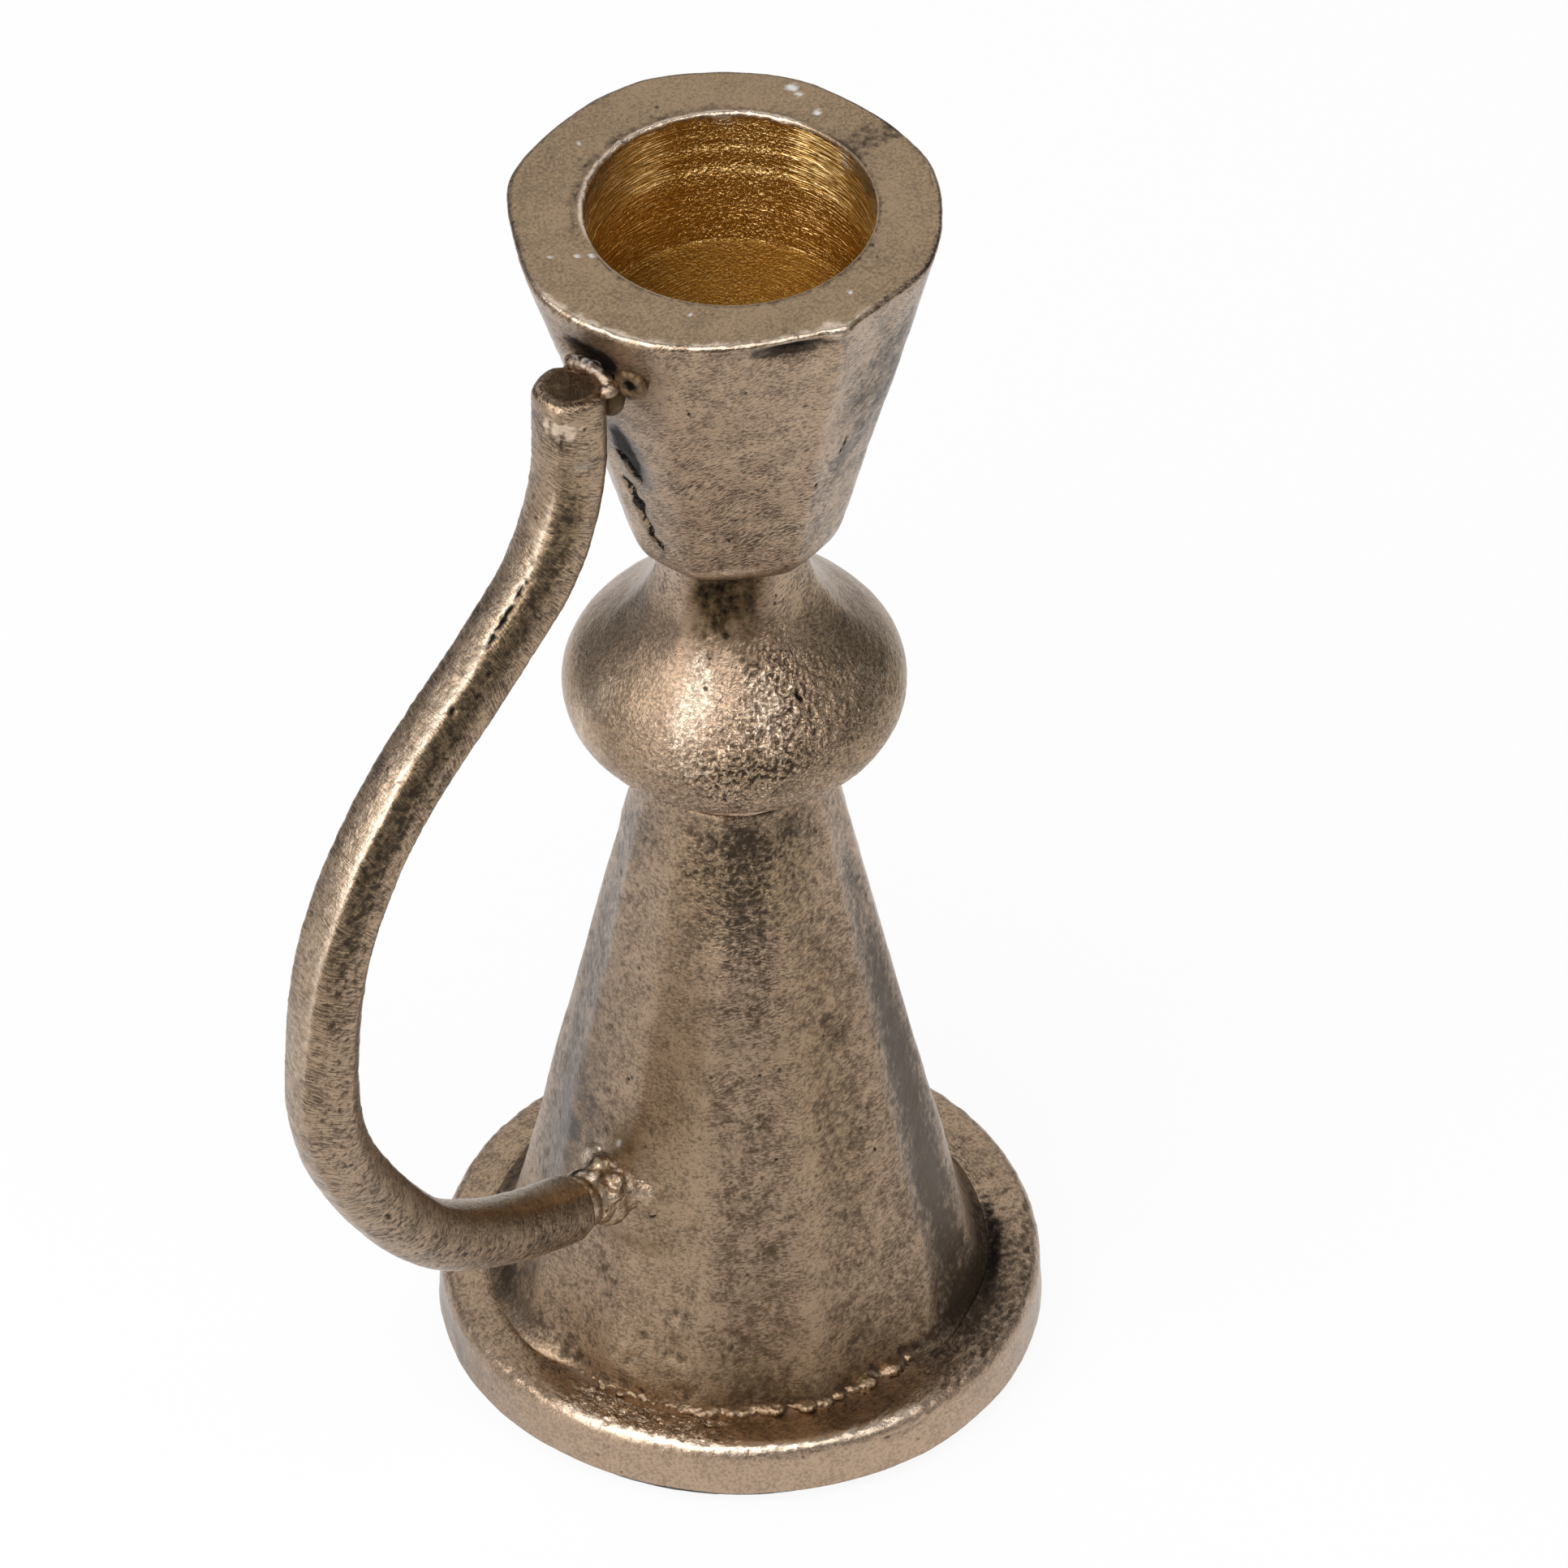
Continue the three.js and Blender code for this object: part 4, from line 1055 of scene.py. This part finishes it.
def makeHandle():
    line = smoothLine([(-out, 0, height) for out, height in handle["stations"]], 2400)
    whole = np.linalg.norm(np.diff(line, axis=0), axis=1).sum()
    length = whole - handle["bare"]
    line = runAlong(line[:int(len(line) * length / whole)], handle["rings"])
    along = np.gradient(line, axis=0)
    along /= np.linalg.norm(along, axis=1, keepdims=True)
    aside = np.array([0, 1.0, 0])
    rodOut = np.cross(aside, along)
    turn = np.linspace(-np.pi, np.pi, handle["sides"], endpoint=False)[None]
    run = np.linspace(0, length, handle["rings"])[:, None]
    shape = (handle["rings"], handle["sides"])

    def rolledOut(radius, distance):  # the rod drawn straight
        fields = (np.cos(turn) * radius, np.sin(turn) * radius, distance)
        return np.stack([np.broadcast_to(field, shape) for field in fields], -1)

    lay = rolledOut(handle["radius"], run)
    sway = 0.14 * lumps(rolledOut(0, run), 15, 81) + 0.05 * lumps(lay, 4, 82) + 0.02 * lumps(lay, 1.2, 80)
    side = turn + sway
    ridges = [ridge - facingAngle for ridge in handle["ridges"]]  # dressedFlats counts from azimuth 0
    flats = dressedFlats(side, ridges, handle["crisp"])
    flatShare = 0.25 + 0.3 * band(10, 30, 66, 92, run)
    radii = handle["radius"] * 1.01 * (1 - flatShare * (1 - flats))

    # skin: lumps, slanting strokes, pebbles on the right and pits
    lift = 0.09 * lumps(lay, 6.5, 83) + 0.04 * cloud(stretched(lay, 1.6), 2.2, 84)
    lift += (0.024 + 0.02 * (1 - easeStep(30, 60, run))) * cloud(lay, 0.65, 86)
    slant = run + 0.9 * turn
    lift += 0.02 * lumps(rolledOut(0.8, slant), 0.45, 85)
    pebbly = easeStep(60, 90, run) * bell(turn + 1.3, 0.9)
    rightSide = bell(turn + 1.35, 0.75) * easeStep(24, 40, run)
    pebbles = 0.06 * cloud(lay, 0.7, 87) + 0.02 * wormRidges(lay, 0.8, 79) - 0.01
    lift += np.maximum(pebbly, rightSide) * pebbles
    pit = np.zeros(shape)
    ragged = 0.14 * lumps(lay, 0.7, 88) + 0.1 * lumps(lay, 0.35, 78)
    for at, degrees, long, wide, deep in handle["pits"]:
        across = (turn - math.radians(degrees)) * handle["radius"] + ragged
        pit = np.maximum(pit, deep * np.exp(-((run - at) / long) ** 4 - (across / wide) ** 2))
    smooth = bell(run - 104, 10) * bell(np.abs(turn) - 2.75, 0.5)
    lift = (lift - pit) * (1 - 0.45 * smooth)

    # blunt ends with worn edges
    worn = handle["edge"]
    fromEnd = np.minimum(run, length - run)
    inset = worn - np.sqrt(np.maximum(worn ** 2 - np.maximum(worn - fromEnd, 0) ** 2, 0))
    spokes = np.cos(turn)[..., None] * rodOut[:, None] + np.sin(turn)[..., None] * aside
    grid = line[:, None] + (radii + lift - inset)[..., None] * spokes
    shares = np.array(handle["capShares"])[:, None, None]
    caps = []
    for end, step in ((0, -along[0]), (-1, along[-1])):
        uneven = 0.09 * lumps(lay[end] * shares, 1.4, 89) * (shares[..., 0] > 0)
        caps.append(line[end] + (grid[end] - line[end]) * shares + uneven[..., None] * step)
    grid = np.concatenate([caps[0][::-1], grid, caps[1]])

    def withCaps(field, capValue=0.0):
        capRings = np.full((len(shares), handle["sides"]), capValue)
        return np.concatenate([capRings, np.broadcast_to(field, shape), capRings])

    stretch = easeStep(4, 12, run)
    # gleam, ridge and topGleam are painted highlights along the ridge and below the top end; litLeftFlank is
    # painted light on the left flank and darkReflectionBand a painted dark reflection right of the ridge
    gleam = band(-0.44, -0.3, 0.3, 1.0, side) * stretch * (1 - easeStep(60, 86, run))
    ridge = bell(side + 0.3, 0.12) * stretch * (1 - easeStep(40, 70, run))
    topGleam = bell(run - 2.0, 1.2) * bell(turn + 0.4, 0.8) * (0.7 + 1.1 * cloud(lay, 0.9, 77))
    darkReflectionBand = band(-1.35, -0.95, -0.56, -0.38, side) * stretch * (1 - easeStep(46, 62, run))
    litLeftFlank = easeStep(-0.5, -0.2, side) * (1 - easeStep(1.6, 2.2, turn)) * band(8, 20, 82, 94, run)
    patinaAndShade = 0.17 + 0.05 * pebbly + 0.15 * smooth + 0.28 * darkReflectionBand + 0.12 * rightSide
    patinaAndShade += 0.3 * hollows(lift, 0.02) - 0.12 * gleam - 0.14 * litLeftFlank
    patinaAndShade += 0.35 * bell(run - 3.4, 1.2) * bell(turn + 0.5, 0.22)
    marks = dict(
        soot=withCaps(np.clip(2.8 * pit, 0, 0.9)), patina=withCaps(patinaAndShade, 0.62),
        rubbed=withCaps(0.3 * gleam + 0.3 * ridge + topGleam + 0.14 * litLeftFlank),
        wrinkle=withCaps(0.2 * rightSide + 0.1 * pebbly),
        ochre=withCaps(0.2 + 0.5 * darkReflectionBand + 0.8 * smooth, 0.3),
        scorch=withCaps(0.08 * bell(run - length, 4), 0.4),
        chip=withCaps(0.25 * bell(run - 6.2, 0.35) * bell(turn + 1.1, 0.25)))
    strength = withCaps(np.clip(0.8 - 0.15 * gleam - 0.5 * smooth, 0, 1) * (np.abs(turn) < 2.9))
    flatten = shares * np.array([1, 1, 0]) + np.array([0, 0, 1])
    fullLay = np.concatenate([(lay[0] * flatten)[::-1], lay, lay[-1] * flatten])
    bend = 0.5 * lumps(fullLay, 3, 90)
    strokes = np.stack([withCaps(turn * handle["radius"]), withCaps(slant) + bend, strength], -1)
    piece = makeSkin("handle_rod_skin", grid, marks, strokes, lay=fullLay)
    settle(piece, "handle_rod", rodBrass)


makeHandle()


# Weld metal: balls as (centre, radii), the size of the mesh, passes of smoothing and height of the roughness
def ballAt(azimuth, away, height, *radii):
    x, y, _ = away * outward(azimuth)
    return ((x, y, height), radii)


def makeWeld(name, node, weld, marksOf):
    points, normals, faces = fuseLumps(name, weld["balls"], weld["voxel"], weld["passes"])
    ragged = 0.7 * cloud(points, 1.0, 91) + 0.5 * wormRidges(points, 0.8, 92) - 0.2
    points = points + normals * weld["rough"] * ragged[:, None]
    angles = np.arctan2(points[:, 1], points[:, 0])
    marks = marksOf(angles, points[:, 2], ragged)
    settle(newPiece(name, points, faces, points, np.zeros(points.shape), marks), node, weldBrass)


# a bead behind the rod's upper end, with the metal that it stands on and a bright tack
upperWeld = dict(
    voxel=0.13, passes=8, rough=0.07,
    balls=[((-17.2, 1.5, 115.7), (0.7, 0.9, 0.6)), ((-17.1, 0.6, 115.9), (0.75, 1.0, 0.62)),
           ((-17.0, -0.4, 115.9), (0.75, 1.0, 0.62)), ((-17.0, -1.4, 115.6), (0.65, 0.9, 0.55)),
           ((-17.3, -2.4, 115.1), (1.0, 0.7, 0.65)), ((-16.8, 0.6, 113.8), (1.1, 2.4, 1.7)),
           ((-16.4, -1.6, 113.2), (1.1, 1.3, 1.7))])
makeWeld("upper_weld_skin", "upper_weld", upperWeld, lambda angles, heights, lift: dict(
    rubbed=0.24 * easeStep(115.4, 116, heights) + spots(angles, heights, [(-34, 115.2, 4, 0.7, 0.6)]),
    patina=0.34 + 0.4 * (1 - easeStep(114.0, 115.4, heights)),
    scorch=0.25 + 0.4 * (1 - easeStep(114.4, 115.4, heights)),
    cool=0.25 * easeStep(115.4, 116, heights),
    chip=0.7 * easeStep(115.9, 116.5, heights) * easeStep(-0.1, 0.4, lift)))

# a ring-like lump beside it, with a pit
sideWeld = dict(voxel=0.12, passes=14, rough=0.06, azimuth=-28.4, away=16.6, height=115.6, core=1.5,
                coreIn=1.2, ring=0.95, thick=0.55, count=9)


def ringOfBalls(weld):
    balls = [ballAt(weld["azimuth"], weld["away"] - weld["coreIn"], weld["height"], *[weld["core"]] * 3)]
    for angle in np.linspace(0, 2 * np.pi, weld["count"], endpoint=False):
        across = math.degrees(weld["ring"] * math.cos(angle) / weld["away"])
        height = weld["height"] + weld["ring"] * math.sin(angle)
        balls.append(ballAt(weld["azimuth"] + across, weld["away"], height, *[weld["thick"]] * 3))
    return balls


sideWeld["balls"] = ringOfBalls(sideWeld)
makeWeld("upper_weld_side_skin", "upper_weld_side", sideWeld, lambda angles, heights, lift: dict(
    patina=0.5, scorch=0.75, rubbed=spots(angles, heights, [(-33, 115.4, 1.4, 0.6, 0.6)]),
    soot=0.2 + spots(angles, heights, [(-28.0, 115.7, 2.0, 0.6, 0.7)])))

# the rod's lower end runs out into a bridge of weld to the cone, lumpy on top
lowerWeld = dict(
    voxel=0.15, passes=9, rough=0.13,
    balls=[((-20.7, 0.0, 26.6), (1.8, 2.6, 2.4)), ((-19.2, 0.0, 26.1), (2.0, 2.6, 2.4)),
           ((-17.6, 0.0, 25.8), (2.2, 2.7, 2.4)), ((-16.0, 0.0, 25.5), (2.2, 3.0, 2.6)),
           ((-14.8, -2.0, 25.2), (1.5, 2.2, 2.2)), ((-14.8, 2.0, 25.4), (1.5, 2.2, 2.2)),
           ((-17.0, 0.6, 28.0), (0.9, 0.8, 0.6)), ((-18.7, -0.4, 28.2), (0.8, 0.7, 0.5)),
           ((-17.4, -1.7, 27.8), (0.7, 0.7, 0.5)), ((-18.2, -2.2, 27.0), (0.8, 0.6, 0.6)),
           ((-17.6, -0.8, 24.6), (2.0, 2.0, 1.6)), ((-14.7, -2.4, 23.8), (1.3, 2.2, 1.7))],
    soot=[(-45, 28.2, 1.8, 0.5, 0.8), (-38.5, 28.4, 1.4, 0.5, 0.6), (-36, 26.2, 1.4, 0.5, 0.5)])
makeWeld("lower_weld_skin", "lower_weld", lowerWeld, lambda angles, heights, lift: dict(
    rubbed=0.6 * easeStep(0.1, 0.6, lift) * easeStep(25, 27, heights) + 0.4, ochre=0.4,
    # darker at the foot of the bridge: painted shade of the crevice under it
    patina=0.1 + 0.35 * (lift < -0.2) + 0.2 * (1 - easeStep(23.4, 25.0, heights)),
    scorch=0.15 * easeStep(27.0, 28.6, heights) + 0.15 * (1 - easeStep(23, 24.4, heights)),
    soot=spots(angles, heights, lowerWeld["soot"])))

# a low crusty bead round the front of the cone's foot
footBead = dict(voxel=0.14, passes=5, rough=0.15, height=6.1, coneAt=5.4, sink=0.15, flatten=0.5,
                start=-42, end=47.5, step=1.2, smallBefore=-15, smallShare=0.55)


def beadOfBalls(weld):
    draw = np.random.default_rng(23)
    balls = []
    for azimuth in np.arange(weld["start"], weld["end"], weld["step"]):
        size = draw.uniform(0.35, 1.0) * (weld["smallShare"] if azimuth < weld["smallBefore"] else 1.0)
        surface = coneRadius(weld["coneAt"]) * float(coneFlats(angleOf(azimuth)[None])[0])
        away = surface - weld["sink"] + draw.uniform(-0.3, 0.5)
        height = weld["height"] + draw.uniform(-0.1, 0.2)
        balls.append(ballAt(azimuth, away, height, size, size, size * weld["flatten"]))
    return balls


footBead["balls"] = beadOfBalls(footBead)
makeWeld("foot_weld_skin", "foot_weld", footBead, lambda angles, heights, lift: dict(
    rubbed=0.3 * easeStep(0.1, 0.6, lift), patina=0.16 + 0.2 * (lift < -0.1), ochre=0.4, scorch=0.2))

# Felt pad under the foot
pad = dict(radius=23.9, sides=220, soften=0.3, tuck=0.25, colour=(0.03, 0.028, 0.026),
           fibre=(0.085, 0.078, 0.07))


def feltMaterial():
    material, tree, shader = newMaterial("darkFelt")
    shader.inputs["Sheen Weight"].default_value = 0.3
    lay = readMark(tree, "lay", "Vector")
    fibres = speckle(tree, lay, 0.35, 6, 0.7, 1.5)
    matted = plus(tree, times(tree, fibres, 0.7), times(tree, speckle(tree, lay, 2.5, 3), 0.3))
    colour = tint(tree, between(tree, matted, 0.42, 0.66), pad["colour"], pad["fibre"])
    dress(tree, shader, colour, between(tree, fibres, 0.3, 0.7, (0.85, 0.97)), fibres, 0.6, 0.2)
    return material


def makePad():
    top = boxTop("base_pad") + pad["tuck"]
    radius, soft = pad["radius"], pad["soften"]
    corners = [(0, 0), (radius - soft, 0), (radius, soft), (radius, top - soft), (radius - soft, top),
               (0, top)]
    counts = (12, 4, 5, 4, 12)
    outline = joinRuns(*[runAlong(ends, count) for *ends, count in zip(corners, corners[1:], counts)])
    angles, radii, heights = sweep(outline, pad["sides"])
    grid = turnedGrid(radii, heights, angles)
    fuzz = 0.06 * cloud(grid, 0.9, 95) * easeStep(radius - 1, radius, radii)
    piece = makeSkin("base_pad_skin", turnedGrid(radii + fuzz, heights, angles), {})
    settle(piece, "base_pad", feltMaterial())


makePad()

# Zinc-plated stud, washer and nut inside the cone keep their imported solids
zinc = dict(bright=(0.60, 0.61, 0.60), dull=(0.42, 0.43, 0.42), bloom=1.8, threadScale=0.4)


def zincMaterial():
    material, tree, shader = newMaterial("zincPlate")
    shader.inputs["Metallic"].default_value = 1
    metres = put(tree, "ShaderNodeTexCoord").outputs["Object"]
    lay = put(tree, "ShaderNodeMapping", Vector=metres, Scale=(1 / mm, 1 / mm, 1 / mm)).outputs[0]
    thread = put(tree, "ShaderNodeTexWave", dict(bands_direction="Z"), Vector=lay, Scale=zinc["threadScale"],
                 Distortion=0.4).outputs["Fac"]
    bloom = speckle(tree, lay, zinc["bloom"], 5)
    colour = tint(tree, between(tree, bloom, 0.35, 0.7), zinc["bright"], zinc["dull"])
    dress(tree, shader, colour, between(tree, bloom, 0.3, 0.7, (0.28, 0.48)), thread, 0.4, 0.2)
    return material


zincPlate = zincMaterial()
for node in ("tie_stud", "washer", "hex_nut"):
    slots = frame["nodes"][node].data.materials
    slots.clear()
    slots.append(zincPlate)
print("fasteners plated")

# Pale floor, lamps and a soft sky
studio = dict(
    floor=(0.86, 0.86, 0.86), floorReach=4.0, whiteShare=0.92, near=0.24, far=0.8, farShade=0.14,
    sky=(0.13, 0.137, 0.15), away=1.0, aim=0.06,
    lamps=[  # azimuth, elevation, width and height in metres, radiance
        ("key", -36, 47, 0.8, 0.6, 4.6), ("low", -45, 11, 0.75, 0.36, 2.0), ("right", 66, 36, 0.4, 0.7, 1.1),
        ("top", 24, 62, 0.7, 0.45, 3.0), ("back", 180, 41, 1.4, 0.7, 0.95),
        ("left", -85, 42, 0.45, 0.6, 2.2)])


def floorMaterial():
    material, tree, shader = newMaterial("paleFloor")
    tree.nodes.remove(shader)
    seen = put(tree, "ShaderNodeLightPath").outputs
    mirrored = sums(tree, "MAXIMUM", seen["Is Glossy Ray"], seen["Is Transmission Ray"])
    straight = sums(tree, "MAXIMUM", seen["Is Camera Ray"], mirrored)
    place = put(tree, "ShaderNodeTexCoord").outputs["Object"]
    distance = put(tree, "ShaderNodeVectorMath", dict(operation="LENGTH"), Vector=place).outputs["Value"]
    # the floor's colour and glow fade from full white near the holder to dark grey far off: a painted pool of
    # light round it
    pool = between(tree, distance, studio["near"], studio["far"], (1, studio["farShade"]))
    plain = put(tree, "ShaderNodeBsdfDiffuse", Color=tint(tree, pool, (0, 0, 0), studio["floor"]))
    white = put(tree, "ShaderNodeEmission", Color=(1, 1, 1, 1), Strength=pool)
    both = put(tree, "ShaderNodeMixShader", Fac=times(tree, straight, studio["whiteShare"]))
    feed(tree, both.inputs[1], plain.outputs[0])
    feed(tree, both.inputs[2], white.outputs[0])
    feed(tree, tree.nodes["Material Output"].inputs["Surface"], both.outputs[0])
    return material


def addFloor():
    mesh = bpy.data.meshes.new("floor")
    reach = studio["floorReach"]
    corners = [(-reach, -reach, 0), (reach, -reach, 0), (reach, reach, 0), (-reach, reach, 0)]
    mesh.from_pydata(corners, [], [(0, 1, 2, 3)])
    mesh.materials.append(floorMaterial())
    addObject("floor", mesh)


def addLamps():
    middle = Vector((0, 0, studio["aim"]))
    for name, azimuth, elevation, width, height, radiance in studio["lamps"]:
        data = bpy.data.lights.new(name, "AREA")
        data.shape = "RECTANGLE"
        data.size, data.size_y = width, height
        data.energy = radiance * math.pi * width * height
        lamp = addObject(name, data)
        rise = math.radians(elevation)
        x, y, _ = math.cos(rise) * outward(azimuth)
        toward = Vector((x, y, math.sin(rise)))
        lamp.location = middle + toward * studio["away"]
        lamp.rotation_mode = "QUATERNION"
        lamp.rotation_quaternion = (-toward).to_track_quat("-Z", "Y")


def addSky():
    world = bpy.data.worlds.new("sky")
    world.use_nodes = True
    sky = world.node_tree.nodes["Background"].inputs
    sky["Color"].default_value = (*studio["sky"], 1)
    sky["Strength"].default_value = 1.0
    bpy.context.scene.world = world


addFloor()
addLamps()
addSky()
bpy.context.scene.view_settings.view_transform = "Standard"
print("studio lit")
